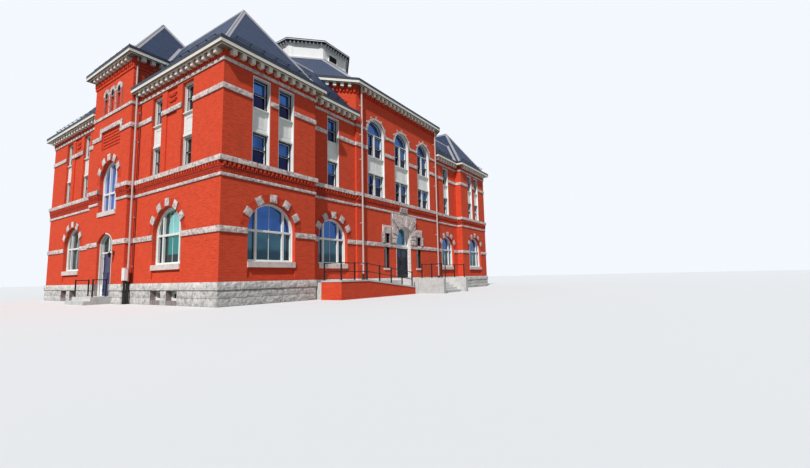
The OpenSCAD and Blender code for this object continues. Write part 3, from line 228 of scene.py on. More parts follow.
TOWER_FACE = west(MID_Y, TOWER_X)
PORTAL = front(MID_X, BAY_Y)
PAVILION_FACES = [f(x) for x in (PAVILION / 2, FRONT - PAVILION / 2) for f in (front, rear)]
LINK_FACES = [f(x, LINK_Y) for x in (LINK_WINDOW_X, FRONT - LINK_WINDOW_X) for f in (front, rear)]
WEST_FACES = [west(MID_Y + k * SIDE_PITCH) for k in (-1, 1)]
SIDE_FACES = WEST_FACES + [east(MID_Y + k * SIDE_PITCH) for k in (-1, 0, 1)]
FRONT_BAYS = [front(MID_X + k * BAY_PITCH, BAY_Y) for k in (-1, 0, 1)]
REAR_BAYS = [rear(MID_X + k * BAY_PITCH, BAY_Y) for k in (-1, 0, 1)]
PAIRED = FRONT_BAYS + REAR_BAYS
FRONT_COLUMNS = shifted(PAVILION_FACES, -0.75, 0.75) + LINK_FACES
SIDE_COLUMNS = shifted(SIDE_FACES, -1.5, 1.5)
LIGHTS = shifted([TOWER_FACE], -LIGHT_PITCH, 0, LIGHT_PITCH)

# Openings that cut the stone courses, with half of their widths.
GROUND_WINDOWS = [(m, WIDE_ARCH) for m in PAVILION_FACES + SIDE_FACES]
GROUND_WINDOWS += [(m, SMALL_ARCH) for m in LINK_FACES + REAR_BAYS]
SIDE_DOOR = (TOWER_FACE, SIDE_DOOR_HALF)
LANDING_WINDOW = (TOWER_FACE, SMALL_ARCH)
CELLARS = [(m, 0.5) for m in shifted(SIDE_FACES, -0.78, 0.78)]
HALL_LINES = closed_lines(hall_outline(0))
TOWER_CORNERS = [(1.0, TOWER_1), (TOWER_X, TOWER_1), (TOWER_X, TOWER_0), (1.0, TOWER_0)]
TOWER_LINES = list(zip(TOWER_CORNERS, TOWER_CORNERS[1:]))


def new_object(name, data):
    """Object with this data, put into the scene."""
    obj = bpy.data.objects.new(name, data)
    bpy.context.scene.collection.objects.link(obj)
    return obj


class Shape:
    """Points and faces of one piece, gathered before its mesh is made."""

    def __init__(self):
        self.points = []
        self.faces = []

    def add(self, points, faces):
        n = len(self.points)
        self.points += points
        self.faces += [[n + i for i in f] for f in faces]

    def prism(self, first, last):
        """Solid between two loops with the same number of points."""
        n = len(first)
        sides = [[i, (i + 1) % n, n + (i + 1) % n, n + i] for i in range(n)]
        self.add(first + last, sides + [list(range(n - 1, -1, -1)), list(range(n, 2 * n))])

    def box(self, m, lo, hi, taper=0.0):
        """Box in wall frame m, its outer face (low y) narrowed by taper on each side."""
        (x0, y0, z0), (x1, y1, z1) = lo, hi
        t = taper
        low = [(x0 + t, y0, z0 + t), (x1 - t, y0, z0 + t), (x1, y1, z0), (x0, y1, z0)]
        high = [(x0 + t, y0, z1 - t), (x1 - t, y0, z1 - t), (x1, y1, z1), (x0, y1, z1)]
        self.prism(*([m @ Vector(p) for p in loop] for loop in (low, high)))

    def frame(self, m, xs, zs, depth, taper):
        """Four bars of a rectangular frame, whose outer and inner edges are in xs and zs."""
        (x0, x1, x2, x3), (z0, z1, z2, z3), (y0, y1) = xs, zs, depth
        for a, b, low, high in ((x0, x1, z0, z3), (x2, x3, z0, z3), (x1, x2, z0, z1), (x1, x2, z2, z3)):
            self.box(m, (a, y0, low), (b, y1, high), taper)

    def plate(self, m, loop, y0, y1):
        """Closed loop of (x, z) points given a thickness from y0 to y1."""
        self.prism(*([m @ Vector((x, y, z)) for x, z in loop] for y in (y0, y1)))

    def arc_strip(self, m, r0, r1, z, y0, y1, a0=0.0, a1=math.pi, parts=16):
        """Curved strip around a centre at height z between two radii."""
        turns = [a0 + (a1 - a0) * i / parts for i in range(parts + 1)]
        loop = [(r1 * math.cos(a), z + r1 * math.sin(a)) for a in turns]
        loop += [(r0 * math.cos(a), z + r0 * math.sin(a)) for a in reversed(turns)]
        n = len(loop)
        pts = [m @ Vector((x, y, zz)) for y in (y0, y1) for x, zz in loop]
        faces = [[i, (i + 1) % n, n + (i + 1) % n, n + i] for i in range(n)]
        for a in range(parts):
            b, c, d = a + 1, n - 2 - a, n - 1 - a
            faces += [[a, d, c, b], [n + a, n + b, n + c, n + d]]
        self.add(pts, faces)

    def stone(self, m, lo, hi, proud=0.022, edge=0.014):
        """Rock-faced block: narrow edges around an uneven face that stands proud of y."""
        (x0, y, z0), (x1, z1) = lo, hi
        nx = max(2, round((x1 - x0) / STONE_GRID[0]))
        nz = max(2, round((z1 - z0) / STONE_GRID[1]))
        row = nx + 1
        pts = []
        for j in range(nz + 1):
            for i in range(row):
                outer = i in (0, nx) or j in (0, nz)
                x = x0 + edge + (x1 - x0 - 2 * edge) * i / nx
                z = z0 + edge + (z1 - z0 - 2 * edge) * j / nz
                if not outer:
                    x += random.uniform(-0.03, 0.03)
                    z += random.uniform(-0.02, 0.02)
                lift = random.uniform(0.2, 0.5) if outer else random.uniform(0.6, 1.25)
                pts.append((x, y - proud * lift, z))
        faces = [[k, k + 1, k + 1 + row, k + row] for j in range(nz) for k in range(j * row, j * row + nx)]
        rim = list(range(row)) + [j * row + nx for j in range(1, nz + 1)]
        rim += [nz * row + i for i in range(nx - 1, -1, -1)] + [j * row for j in range(nz - 1, 0, -1)]
        n = len(pts)
        for k in rim:
            x, _, z = pts[k]
            across = (x - x0) / (x1 - x0)
            back_x = x0 if across < 0.06 else x1 if across > 0.94 else x
            back_z = z0 if k <= nx else z1 if k >= nz * row else z
            pts.append((back_x, y + STONE_GAP, back_z))
        count = len(rim)
        faces += [[rim[(k + 1) % count], rim[k], n + k, n + (k + 1) % count] for k in range(count)]
        faces.append([n + k for k in range(count)])
        self.add([m @ Vector(p) for p in pts], faces)

    def course(self, lines, levels, openings, size, proud=0.022):
        """Course of rock-faced stones of uneven length along wall lines."""
        z0, z1 = levels[0] + STONE_GAP, levels[1] - STONE_GAP
        for m, length in walls(lines):
            for a, b in free_runs(m, length, openings):
                count = max(1, round((b - a) / size))
                shifts = [random.uniform(-0.22, 0.22) if 0 < k < count else 0 for k in range(count + 1)]
                marks = [a + (b - a) * (k + shift) / count for k, shift in enumerate(shifts)]
                for x0, x1 in zip(marks, marks[1:]):
                    self.stone(m, (x0 + STONE_GAP, 0, z0), (x1 - STONE_GAP, z1), proud)

    def along(self, p, q, section):
        """Section of offsets from a point, run from p to q in the corner's frame."""
        a, b = CORNER + Vector(p), CORNER + Vector(q)
        self.prism([a + o for o in section], [b + o for o in section])

    def fold(self, p, q, n1, n2, width, thick=0.014, valley=False, roll=0.0):
        """Sheet metal folded over a ridge, hip or valley between two slopes."""
        d = (Vector(q) - Vector(p)).normalized()
        edges = []
        for n, other in ((n1, n2), (n2, n1)):
            s = d.cross(n).normalized()
            if (s.dot(other) > 0) != valley:
                s = -s
            edges.append((s * width, s * width + n * thick))
        middle = (n1 + n2).normalized() * thick
        self.along(p, q, [*edges[0], middle * 1.6, *edges[1][::-1], -middle])
        if roll:
            self.rod(Vector(p) + middle, Vector(q) + middle, roll)

    def rod(self, p, q, r, sides=8):
        """Round bar from p to q in the corner's frame."""
        axis = (Vector(q) - Vector(p)).normalized()
        u = axis.orthogonal().normalized()
        v = axis.cross(u)
        turns = [2 * math.pi * i / sides for i in range(sides)]
        self.along(p, q, [u * (r * math.cos(t)) + v * (r * math.sin(t)) for t in turns])

    def post(self, x, y, z0, z1, r, sides=16):
        """Upright round bar at x, y in the corner's frame."""
        self.rod((x, y, z0), (x, y, z1), r, sides)

    def piece(self, name, paint, slot, body="building"):
        """Makes the mesh, with its faces turned outward, and puts it on its body."""
        mesh = bpy.data.meshes.new(name)
        mesh.from_pydata([tuple(p) for p in self.points], [], self.faces)
        mesh.validate()
        work = bmesh.new()
        work.from_mesh(mesh)
        bmesh.ops.recalc_face_normals(work, faces=work.faces)
        work.to_mesh(mesh)
        work.free()
        mesh.materials.append(paint.material)
        obj = new_object(name, mesh)
        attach(obj, body)


def operation(name):
    """Method of a wire that adds one kind of Math node."""
    def method(self, *others):
        return self.paint.node("ShaderNodeMath", {"operation": name}, dict(enumerate((self, *others))))
    return method


class Wire:
    """A value in a material. Arithmetic on wires adds Math nodes."""

    def __init__(self, paint, socket):
        self.paint = paint
        self.socket = socket

    __add__ = __radd__ = operation("ADD")
    __sub__ = operation("SUBTRACT")
    __mul__ = operation("MULTIPLY")
    __truediv__ = operation("DIVIDE")
    __gt__ = operation("GREATER_THAN")
    __lt__ = operation("LESS_THAN")
    __abs__ = operation("ABSOLUTE")
    floor = operation("FLOOR")
    fract = operation("FRACT")
    sqrt = operation("SQRT")
    high = operation("MAXIMUM")
    low = operation("MINIMUM")

    def __rsub__(self, o):
        return self.paint.node("ShaderNodeMath", {"operation": "SUBTRACT"}, {0: o, 1: self})

    def between(self, a, b):
        return (self > a) * (self < b)

    def step(self, a, b):
        """0 at a, 1 at b and smooth between."""
        limits = {"Value": self, "From Min": a, "From Max": b}
        return self.paint.node("ShaderNodeMapRange", {"interpolation_type": "SMOOTHSTEP"}, limits)


class Paint:
    """One material, built node by node."""

    def __init__(self, name, view, **fixed):
        self.material = bpy.data.materials.new(name)
        self.material.use_nodes = True
        self.material.diffuse_color = (*view, 1)
        self.tree = self.material.node_tree
        self.shader = self.tree.nodes["Principled BSDF"]
        for k, v in fixed.items():
            self.shader.inputs[k.replace("_", " ")].default_value = v
        coords = self.tree.nodes.new("ShaderNodeTexCoord")
        self.place = Wire(self, coords.outputs["Object"])
        self.x, self.y, self.z = self.split(self.place)
        self.nx, self.ny, self.nz = self.split(Wire(self, coords.outputs["Normal"]))

    def node(self, kind, settings=(), values=(), out=0):
        """Adds a node, sets it up and returns one of its outputs."""
        n = self.tree.nodes.new(kind)
        for k, v in dict(settings).items():
            setattr(n, k, v)
        for k, v in dict(values).items():
            if isinstance(v, Wire):
                self.tree.links.new(v.socket, n.inputs[k])
            else:
                n.inputs[k].default_value = v
        return Wire(self, n.outputs[out])

    def split(self, vector):
        n = self.tree.nodes.new("ShaderNodeSeparateXYZ")
        self.tree.links.new(vector.socket, n.inputs[0])
        return [Wire(self, o) for o in n.outputs]

    def join(self, x, y, z=0.0):
        return self.node("ShaderNodeCombineXYZ", {}, {0: x, 1: y, 2: z})

    def mix(self, factor, a, b):
        """Colour mix of a and b."""
        colours = {k: (*v, 1) if isinstance(v, tuple) and len(v) == 3 else v for k, v in ((6, a), (7, b))}
        return self.node("ShaderNodeMix", {"data_type": "RGBA"}, {0: factor, **colours}, out=2)

    def noise(self, scale, detail=3.0, vector=None, rough=0.5):
        values = {"Vector": vector or self.place, "Scale": scale, "Detail": detail, "Roughness": rough}
        return self.node("ShaderNodeTexNoise", {}, values)

    def grains(self, scale):
        return self.node("ShaderNodeTexVoronoi", {}, {"Vector": self.place, "Scale": scale})

    def dice(self, a, b):
        """One random number for each pair of whole numbers."""
        return self.node("ShaderNodeTexWhiteNoise", {"noise_dimensions": "2D"}, {"Vector": self.join(a, b)})

    def along(self):
        """Distance along a wall or a roof's courses, whichever way the surface faces."""
        level = self.nx * self.nx + self.ny * self.ny
        return (self.y * self.nx - self.x * self.ny) / level.high(0.0001).sqrt()

    def set(self, **links):
        for k, v in links.items():
            self.tree.links.new(v.socket, self.shader.inputs[k.replace("_", " ")])

    def bump(self, height, depth, strength=1.0):
        values = {"Strength": strength, "Distance": depth, "Height": height}
        self.set(Normal=self.node("ShaderNodeBump", {}, values))

    def onto(self, *objects):
        for o in objects:
            o.data.materials.clear()
            o.data.materials.append(self.material)


def shade(colour, share, lift=0.0):
    """A colour made darker or lighter."""
    return tuple(min(1, c * share + lift) for c in colour)


# Places in the materials, in the frame of the whole part.
BRICK_PITCH = (0.2135, 0.0675)
STRING_SHADE_Z = (5.97, 6.33)
ENTRANCE_X = CORNER.x + MID_X
GROUND_HEAD = 5.0
ENTRANCE_GLASS_Z = (3.3, GROUND_HEAD)
LANDING_Y = CORNER.y + MID_Y
LANDING_GLASS_Z = (5.1, 8.3)
NORTH_WINDOW_Y = 4.0
UPPER_SASHES_Z = ((7.36, 8.3), (10.09, 12.6))
DOOR_GLASS_Z = (2.6, GROUND_HEAD)


def brick_paint(name, light, dark, mortar):
    """Common brick in running bond, 203 by 57 mm with thin joints."""
    length, height = BRICK_PITCH
    p = Paint(name, light, Specular_IOR_Level=0.2)
    flat = (abs(p.nz) > 0.7) * 1.0
    u = p.along() * (1 - flat) + p.x * flat
    v = p.z * (1 - flat) + p.y * flat
    row = (v / height).floor()
    cell = u / length + (row * 0.5).fract() + 400
    brick = cell.floor()
    joint = ((cell.fract() < 0.045) + ((v / height).fract() < 0.145)).low(1.0)
    tone = p.dice(brick, row)
    burnt = p.dice(brick + 31, row + 7)
    patches = p.noise(0.35, 4.0, rough=0.6)
    fine = p.noise(38.0, 4.0)
    stain = p.noise(1.0, 3.0, vector=p.join(u * 1.6, v * 0.22)).step(0.55, 0.85)
    colour = p.mix(tone * 0.6 + patches * 0.4, dark, light)
    colour = p.mix((burnt > 0.965) * 0.3, colour, shade(dark, 0.55))
    colour = p.mix((fine - 0.5) * 0.35 + 0.1, colour, shade(light, 1.25))
    colour = p.mix(joint * 0.6, colour, mortar)
    colour = p.mix(stain * 0.16, colour, (0.16, 0.07, 0.05))
    # Painted shade: the band behind the dentils under the string course is darkened.
    colour = p.mix(p.z.between(*STRING_SHADE_Z) * 0.6, colour, (0.20, 0.018, 0.022))
    p.set(Base_Color=colour, Roughness=0.78 + tone * 0.12)
    p.bump(fine * 0.25 - joint * 0.8 + tone * 0.2, 0.006)
    return p


def granite_paint(name, light, dark, rock=1.0, hollow_dark=0.35):
    """Speckled split granite, darker in the hollows of its broken face; rock is the depth of that face."""
    p = Paint(name, light)
    cloud = p.noise(1.3, 3.0)
    chips = p.noise(5.5, 6.0, rough=0.66)
    specks = p.noise(85.0, 2.0)
    feldspar = p.grains(48.0)
    colour = p.mix(cloud.step(0.35, 0.65) * 0.35 + chips.step(0.36, 0.60) * 0.65, dark, light)
    colour = p.mix((specks > 0.60) * 0.22, colour, (0.12, 0.11, 0.12))
    colour = p.mix((feldspar < 0.2) * 0.20, colour, light)
    # Darker in the hollows of the broken face, where the chips are low.
    colour = p.mix(chips.step(0.50, 0.34) * hollow_dark, colour, (0.13, 0.115, 0.12))
    p.set(Base_Color=colour, Roughness=0.72 + specks * 0.2)
    p.bump(chips * rock + specks * 0.05, 0.06)
    return p


def slate_paint(name, light, dark, exposure=0.19, width=0.27):
    """Slates in courses; each lies over the one below."""
    p = Paint(name, light, Specular_IOR_Level=0.12)
    slope = (1 - p.nz * p.nz).high(0.01).sqrt()
    v = p.z / slope / exposure
    row = v.floor()
    cell = p.along() / width + (row * 0.5).fract() + 300
    tone = p.dice(cell.floor(), row)
    gap = (cell.fract() < 0.04) * 1.0
    lap = (v.fract() < 0.10) * 1.0
    grain = p.noise(30.0, 4.0)
    weather = p.noise(0.5, 3.0)
    colour = p.mix(tone * 0.7 + weather * 0.3, dark, light)
    colour = p.mix((gap + lap).low(1.0) * 0.55, colour, shade(dark, 0.35))
    colour = p.mix(grain * 0.12, colour, (0.20, 0.24, 0.32))
    p.set(Base_Color=colour, Roughness=0.48 + grain * 0.25)
    p.bump((1 - v.fract()) * 0.9 - gap * 0.4 + tone * 0.25 + grain * 0.08, 0.012)
    return p


def coat_paint(name, colour, gloss=0.45, wear=0.12, metal=0.0, level=0.5, under=None):
    """Brushed paint with a little weathering; under is a painted shade colour for the faces that look down.
    """
    p = Paint(name, colour, Metallic=metal, Specular_IOR_Level=level)
    brush = p.noise(26.0, 3.0)
    blotch = p.noise(1.7, 4.0)
    base = p.mix(blotch.step(0.35, 0.75) * wear, colour, (0.25, 0.22, 0.18))
    base = p.mix(brush * 0.08, base, shade(colour, 1.2, 0.02))
    # Painted shade on the faces that look down.
    if under:
        base = p.mix((p.nz < -0.7) * 0.9, base, under)
    p.set(Base_Color=base, Roughness=gloss + (brush - 0.5) * 0.2)
    p.bump(brush, 0.001)
    return p


def side_glass(p, shades, low_edge, high, waves):
    """Colour of the panes on the sides of the building, with painted shade on some of them and painted sky in
    the landing window.
    """
    low, middle, top = shades
    colour = p.mix((p.z > low_edge) * 1.0, low, middle)
    colour = p.mix(high * (waves.step(0.3, 0.7) * 0.4 + 0.6), colour, top)
    across = (((p.y - LANDING_Y) / SIDE_PITCH + 0.5).fract() - 0.5) * SIDE_PITCH
    right_part = (across > 0.42) * 1.0
    off_middle = abs(p.y - LANDING_Y)
    # Painted shade on the ground-storey side panes north of NORTH_WINDOW_Y, at the right of each window, or
    # near the middle of the side.
    dim = (p.y > NORTH_WINDOW_Y).high(right_part).high(off_middle < 1.1)
    colour = p.mix(dim * (p.z < GROUND_HEAD) * 0.88, colour, (0.020, 0.027, 0.032))
    # Painted sky reflection in the landing window.
    landing = (p.x < 0) * (off_middle < 1.3) * p.z.between(*LANDING_GLASS_Z)
    return p.mix(landing * (waves.step(0.3, 0.7) * 0.3 + 0.7), colour, (0.11, 0.22, 0.62))


def glass_paint(name, lower, upper, side_shades, low_edge, sky_levels):
    """Window glass; its colours are painted reflections, with more painted sky between the levels of each
    pair in sky_levels.
    """
    p = Paint(name, lower, Roughness=0.06, Metallic=0.72, Specular_IOR_Level=0.2)
    high = 0.0
    for levels in sky_levels:
        high = p.z.between(*levels) + high
    waves = p.noise(0.8, 2.0)
    ripple = p.noise(3.0, 2.0)
    pane = p.dice((p.along() / 3.1 + 60).floor(), (p.z / 3.2).floor())
    foot = p.z.step(low_edge + 0.25, low_edge - 0.05)
    # Painted sky reflection between the sky levels; below them, darker towards the foot of the panes.
    colour = p.mix(high, p.mix(foot * 0.75, lower, shade(lower, 0.22)), upper)
    # Darker painted reflections in patches, varied from window to window.
    colour = p.mix(waves.step(0.42, 0.66) * 0.35 + pane * 0.25, colour, shade(lower, 0.35))
    # Painted teal reflection in the glass above the entrance.
    entrance = (abs(p.x - ENTRANCE_X) < 2.6) * p.z.between(*ENTRANCE_GLASS_Z)
    colour = p.mix(entrance * 0.75, colour, (0.06, 0.20, 0.30))
    side = (abs(p.nx) > 0.7) * 1.0
    p.set(Base_Color=p.mix(side, colour, side_glass(p, side_shades, low_edge, high, waves)))
    p.bump(waves + ripple * 0.3, 0.004, 0.3)
    return p


def plain_brick_paint(name, light, dark):
    """Single bricks laid on end, each with its own shade."""
    p = Paint(name, light, Roughness=0.84, Specular_IOR_Level=0.2)
    tone = p.noise(7.0, 1.0)
    fine = p.noise(40.0, 4.0)
    colour = p.mix(tone.step(0.3, 0.7), dark, light)
    p.set(Base_Color=p.mix(fine.step(0.4, 0.8) * 0.25, colour, shade(dark, 0.7)))
    p.bump(fine, 0.002)
    return p


def louvre_paint(name, colour):
    """Dark slats, lighter in a thin band at the top of every 6 cm, with faint dust."""
    p = Paint(name, colour, Roughness=0.7, Specular_IOR_Level=0.2)
    slat = (p.z / 0.06).fract()
    dust = p.noise(20.0, 3.0)
    p.set(Base_Color=p.mix((slat > 0.8) * 0.2 + dust * 0.05, colour, (0.12, 0.12, 0.12)))
    p.bump(slat, 0.01)
    return p


BRICK = brick_paint("sunlit_red_brick", (0.86, 0.086, 0.028), (0.62, 0.042, 0.015), (0.66, 0.20, 0.12))
HEADER = plain_brick_paint("brick_headers", (0.78, 0.086, 0.033), (0.50, 0.042, 0.018))
GRANITE = granite_paint("rock_faced_granite", (0.92, 0.765, 0.70), (0.48, 0.37, 0.35))
BASE_STONE = granite_paint("grey_base_granite", (0.82, 0.78, 0.725), (0.42, 0.405, 0.39), hollow_dark=0.25)
LEDGE = granite_paint("ledge_granite", (0.90, 0.85, 0.79), (0.56, 0.53, 0.50), hollow_dark=0.25)
BED = granite_paint("granite_bed", (0.34, 0.28, 0.26), (0.22, 0.18, 0.18), rock=0.3)
DRESSED = granite_paint("dressed_granite", (0.84, 0.72, 0.66), (0.64, 0.54, 0.50), rock=0.12, hollow_dark=0.1)
CONCRETE = granite_paint("brushed_concrete", (0.68, 0.67, 0.64), (0.54, 0.53, 0.51), rock=0.08, hollow_dark=0.05)
SLATE = slate_paint("blue_grey_slate", (0.027, 0.048, 0.108), (0.014, 0.025, 0.058))
CREAM = coat_paint("cream_painted_wood", (0.86, 0.83, 0.72))
# Painted shade on the soffits: the downward faces of the cornice boards are darker.
SOFFIT = coat_paint("shaded_soffit_paint", (0.86, 0.83, 0.72), under=(0.16, 0.14, 0.115))
WHITE = coat_paint("white_window_paint", (0.86, 0.86, 0.82), gloss=0.35, wear=0.05)
PANEL = coat_paint("pale_panel_paint", (0.84, 0.84, 0.79), gloss=0.4, wear=0.08)
NAVY = coat_paint("navy_door_paint", (0.016, 0.026, 0.095), gloss=0.35, wear=0.04, level=0.3)
DARK = coat_paint("dark_bronze_paint", (0.014, 0.016, 0.024), gloss=0.4, wear=0.03, level=0.2)
BLACK = coat_paint("black_rail_paint", (0.012, 0.012, 0.014), gloss=0.5, wear=0.03, level=0.2)
IRON = coat_paint("cast_iron", (0.022, 0.020, 0.020), gloss=0.6, wear=0.1, level=0.2)
PIPE = coat_paint("pale_pipe_paint", (0.60, 0.46, 0.43), gloss=0.5)
GUTTER = coat_paint("dark_gutter_paint", (0.030, 0.038, 0.060), gloss=0.5, wear=0.05, level=0.25)
SHEET = coat_paint("weathered_sheet_metal", (0.38, 0.36, 0.38), gloss=0.42, wear=0.2, metal=0.25)
GUARD = coat_paint("snow_guard_metal", (0.014, 0.016, 0.024), gloss=0.5, wear=0.03, level=0.2)
PLASTER = coat_paint("plain_plaster", (0.55, 0.53, 0.49), gloss=0.8)
LOUVRE = louvre_paint("dark_louvre", (0.012, 0.012, 0.014))
# The glass colours are painted reflections: the second colour is painted sky, and each triple runs from
# painted shade on the low side panes to painted sky.
GLASS = glass_paint("window_glass", (0.012, 0.015, 0.062), (0.042, 0.125, 0.36),
                    ((0.010, 0.014, 0.018), (0.014, 0.018, 0.022), (0.030, 0.045, 0.055)),
                    GROUND_HEAD, UPPER_SASHES_Z)
LOW_GLASS = glass_paint("ground_storey_glass", (0.060, 0.145, 0.20), (0.045, 0.13, 0.42),
                        ((0.006, 0.022, 0.022), (0.020, 0.24, 0.22), (0.33, 0.74, 0.70)),
                        2.45, ((ARCH_SPRING, GROUND_HEAD),))
PANE = glass_paint("door_glass", (0.020, 0.028, 0.050), (0.030, 0.045, 0.080),
                   ((0.02, 0.02, 0.02),) * 3, 2.4, (DOOR_GLASS_Z,))

for paint, names in (
    (BRICK, "pavilion_walls link_walls bay_wall_left bay_wall_right bay_wall_over rear_bay_wall west_walls"),
    (BRICK, "tower_wall_beside tower_wall_over tower_upper_walls east_wall hall_upper_walls"),
    (BRICK, "brick_courses ramp_walls"),
    (BED, "foundation water_table tower_base granite_bands string_course arch_stones portal_surround"),
    (SOFFIT, "cornice_boards hall_cornice_boards"),
    (DRESSED, "window_sills"),
    (CONCRETE, "ramp_caps landing front_steps cheek_walls ramp side_stoop stair_floor"),
    (PLASTER, "basement_floor main_floor second_floor third_floor attic_floor hall_ceiling"),
    (SLATE, "wing_roofs link_roofs hall_roof tower_roof lantern_roof"),
    (CREAM, "cornice_blocks"),
    (WHITE, "lantern_walls lantern_posts lower_frames upper_frames side_door_frame entrance_frame"),
    (PANEL, "spandrel_panels"),
    (GLASS, "upper_glass"),
    (LOW_GLASS, "lower_glass"),
    (DARK, "front_door_left front_door_right"),
    (NAVY, "side_door_left side_door_right"),
    (PIPE, "downspouts"),
    (GUTTER, "gutters"),
    (BLACK, "railings"),
):
    paint.onto(*[nodes[n] for n in names.split()])


def at(d):
    """Wall lines of the whole building, moved outward by d."""
    return closed_lines(outline(d))


def base_stones():
    """Two courses of rock-faced granite up to the ledge."""
    stones = Shape()
    middle = LEDGE_Z / 2
    for levels in ((0.0, middle), (middle, LEDGE_Z)):
        stones.course(at(BASE_OUT), levels, CELLARS + [SIDE_DOOR], 1.1)
    stones.piece("base_stones", BASE_STONE, "granite")


def ledge_stones():
    stones = Shape()
    stones.course(at(LEDGE_OUT), (LEDGE_Z, WALL_FOOT), [SIDE_DOOR], 1.25, 0.03)
    stones.piece("ledge_stones", LEDGE, "granite")


HOOD_X = 1.385
HOOD_HALF = 0.135
HOOD_STEP = 0.827
HOOD_FOOT = 10.08
HOOD_TOP = 10.35


def band_stones():
    """Stones of the four bands, the string course and the hood over the tower's brick panel."""
    columns = [(m, COLUMN_HALF) for m in FRONT_COLUMNS + SIDE_COLUMNS]
    windows = columns + [(m, BAY_HALF) for m in PAIRED] + [(TOWER_FACE, HOOD_X + HOOD_HALF)]
    stones = Shape()
    stones.course(at(BAND_OUT), BAND_1, GROUND_WINDOWS + [SIDE_DOOR, (PORTAL, PORTAL_HALF)], 0.9, 0.03)
    stones.course(at(BAND_OUT), BAND_2, [LANDING_WINDOW], 0.8, 0.014)
    stones.course(at(STRING_OUT), STRING, [LANDING_WINDOW], 0.95, 0.010)
    stones.course(at(BAND_OUT), BAND_3, windows, 0.8, 0.024)
    stones.course(at(BAND_OUT), BAND_4, [(m, 1.1) for m in PAIRED], 0.9, 0.014)
    for x in (-HOOD_X, HOOD_X):
        stones.stone(TOWER_FACE, (x - HOOD_HALF, -BAND_OUT, BAND_3[0]), (x + HOOD_HALF, HOOD_TOP), 0.02)
    for k in range(3):
        x = k * HOOD_STEP - 1.24
        stones.stone(TOWER_FACE, (x, -BAND_OUT, HOOD_FOOT), (x + HOOD_STEP - 0.006, HOOD_TOP), 0.02)
    stones.piece("band_stones", GRANITE, "granite")


def ring_stones(shape, m, spring, r, size, length):
    """Separate stones set around an arch, from r outward."""
    for a in BLOCK_TURNS:
        place = spoke(m, spring, math.radians(a))
        shape.stone(place, (-size / 2, -BAND_OUT, r), (size / 2, r + length), 0.03)


def arch_blocks():
    """Stones around the arches, between the tower lights and around their round heads."""
    stones = Shape()
    for m, half in GROUND_WINDOWS:
        ring_stones(stones, m, ARCH_SPRING, half + 0.02, 0.40, 0.40)
    ring_stones(stones, TOWER_FACE, LANDING_SPRING, SMALL_ARCH + 0.02, 0.40, 0.40)
    for m in PAIRED:
        ring_stones(stones, m, BAY_SPRING, BAY_HALF + 0.155, 0.15, 0.14)
        for t0, t1 in half_turn(12, 0.008):
            stones.arc_strip(m, BAY_HALF + 0.005, BAY_HALF + 0.145, BAY_SPRING, -0.058, -0.04, t0, t1, 3)
    for x in (-LIGHT_PITCH / 2, LIGHT_PITCH / 2):
        for z in (11.32, 11.72, 12.10):
            stones.stone(TOWER_FACE, (x - 0.05, -BAND_OUT, z - 0.17), (x + 0.05, z + 0.17), 0.01)
    for m in LIGHTS:
        for k in range(7):
            place = spoke(m, LIGHT_Z, math.radians(-77 + k * 25.7))
            stones.box(place, (-0.075, -0.060, 0.19), (0.075, -0.040, 0.42), 0.012)
    stones.piece("arch_blocks", GRANITE, "granite")


def tower_light_bricks():
    bricks = Shape()
    for s in (-1, 1):
        for a, b in ((0.24, 0.37), (0.49, 0.62), (1.10, 1.285)):
            x0, x1 = span(s, a, b)
            bricks.box(TOWER_FACE, (x0, -0.050, 11.125), (x1, -0.040, 12.24))
    bricks.piece("tower_light_bricks", BRICK, "brick")


def tower_roundels():
    """Dark louvres in the round heads of the tower lights."""
    heads = Shape()
    turns = [2 * math.pi * i / 24 for i in range(24)]
    for light in LIGHTS:
        m = spoke(light, LIGHT_Z, 0)
        heads.plate(m, [(0.178 * math.cos(a), 0.178 * math.sin(a)) for a in turns], -0.030, 0.0)
        for k in range(6):
            z = 0.05 * k - 0.13
            half = math.sqrt(0.175 ** 2 - max(abs(z), abs(z + 0.02)) ** 2)
            heads.box(m, (-half, -0.042, z), (half, -0.028, z + 0.02), 0.003)
    heads.piece("tower_roundels", LOUVRE, "dark_door_paint")


def arch_bricks():
    """Two rings of bricks on end over each arch, between the granite blocks."""
    bricks = Shape()
    arches = [(m, half, ARCH_SPRING) for m, half in GROUND_WINDOWS] + [(*LANDING_WINDOW, LANDING_SPRING)]
    for m, r, spring in arches:
        block = math.degrees(0.22 / (r + 0.2))
        for inner in (r + 0.004, r + 0.215):
            count = int(math.pi * inner / 0.078)
            for k in range(count):
                t = math.pi * (k + 0.5) / count - math.pi / 2
                if min(abs(math.degrees(t) - a) for a in BLOCK_TURNS) >= block:
                    place = spoke(m, spring, t)
                    bricks.box(place, (-0.030, -0.007, inner), (0.030, 0.02, inner + 0.202), 0.002)
    bricks.piece("arch_bricks", HEADER, "brick")


def dentil_row(shape, lines, levels, depth, pitch, share, openings=()):
    """Row of bricks along wall lines; each takes its share of the pitch."""
    (z0, z1), (y0, y1) = levels, depth
    half = pitch * share / 2
    for m, length in walls(lines):
        for a, b in free_runs(m, length, openings):
            count = max(1, round((b - a) / pitch))
            for k in range(count):
                x = a + (k + 0.5) * (b - a) / count
                shape.box(m, (x - half, y0, z0), (x + half, y1, z1))


DENTIL_PITCH = 0.23


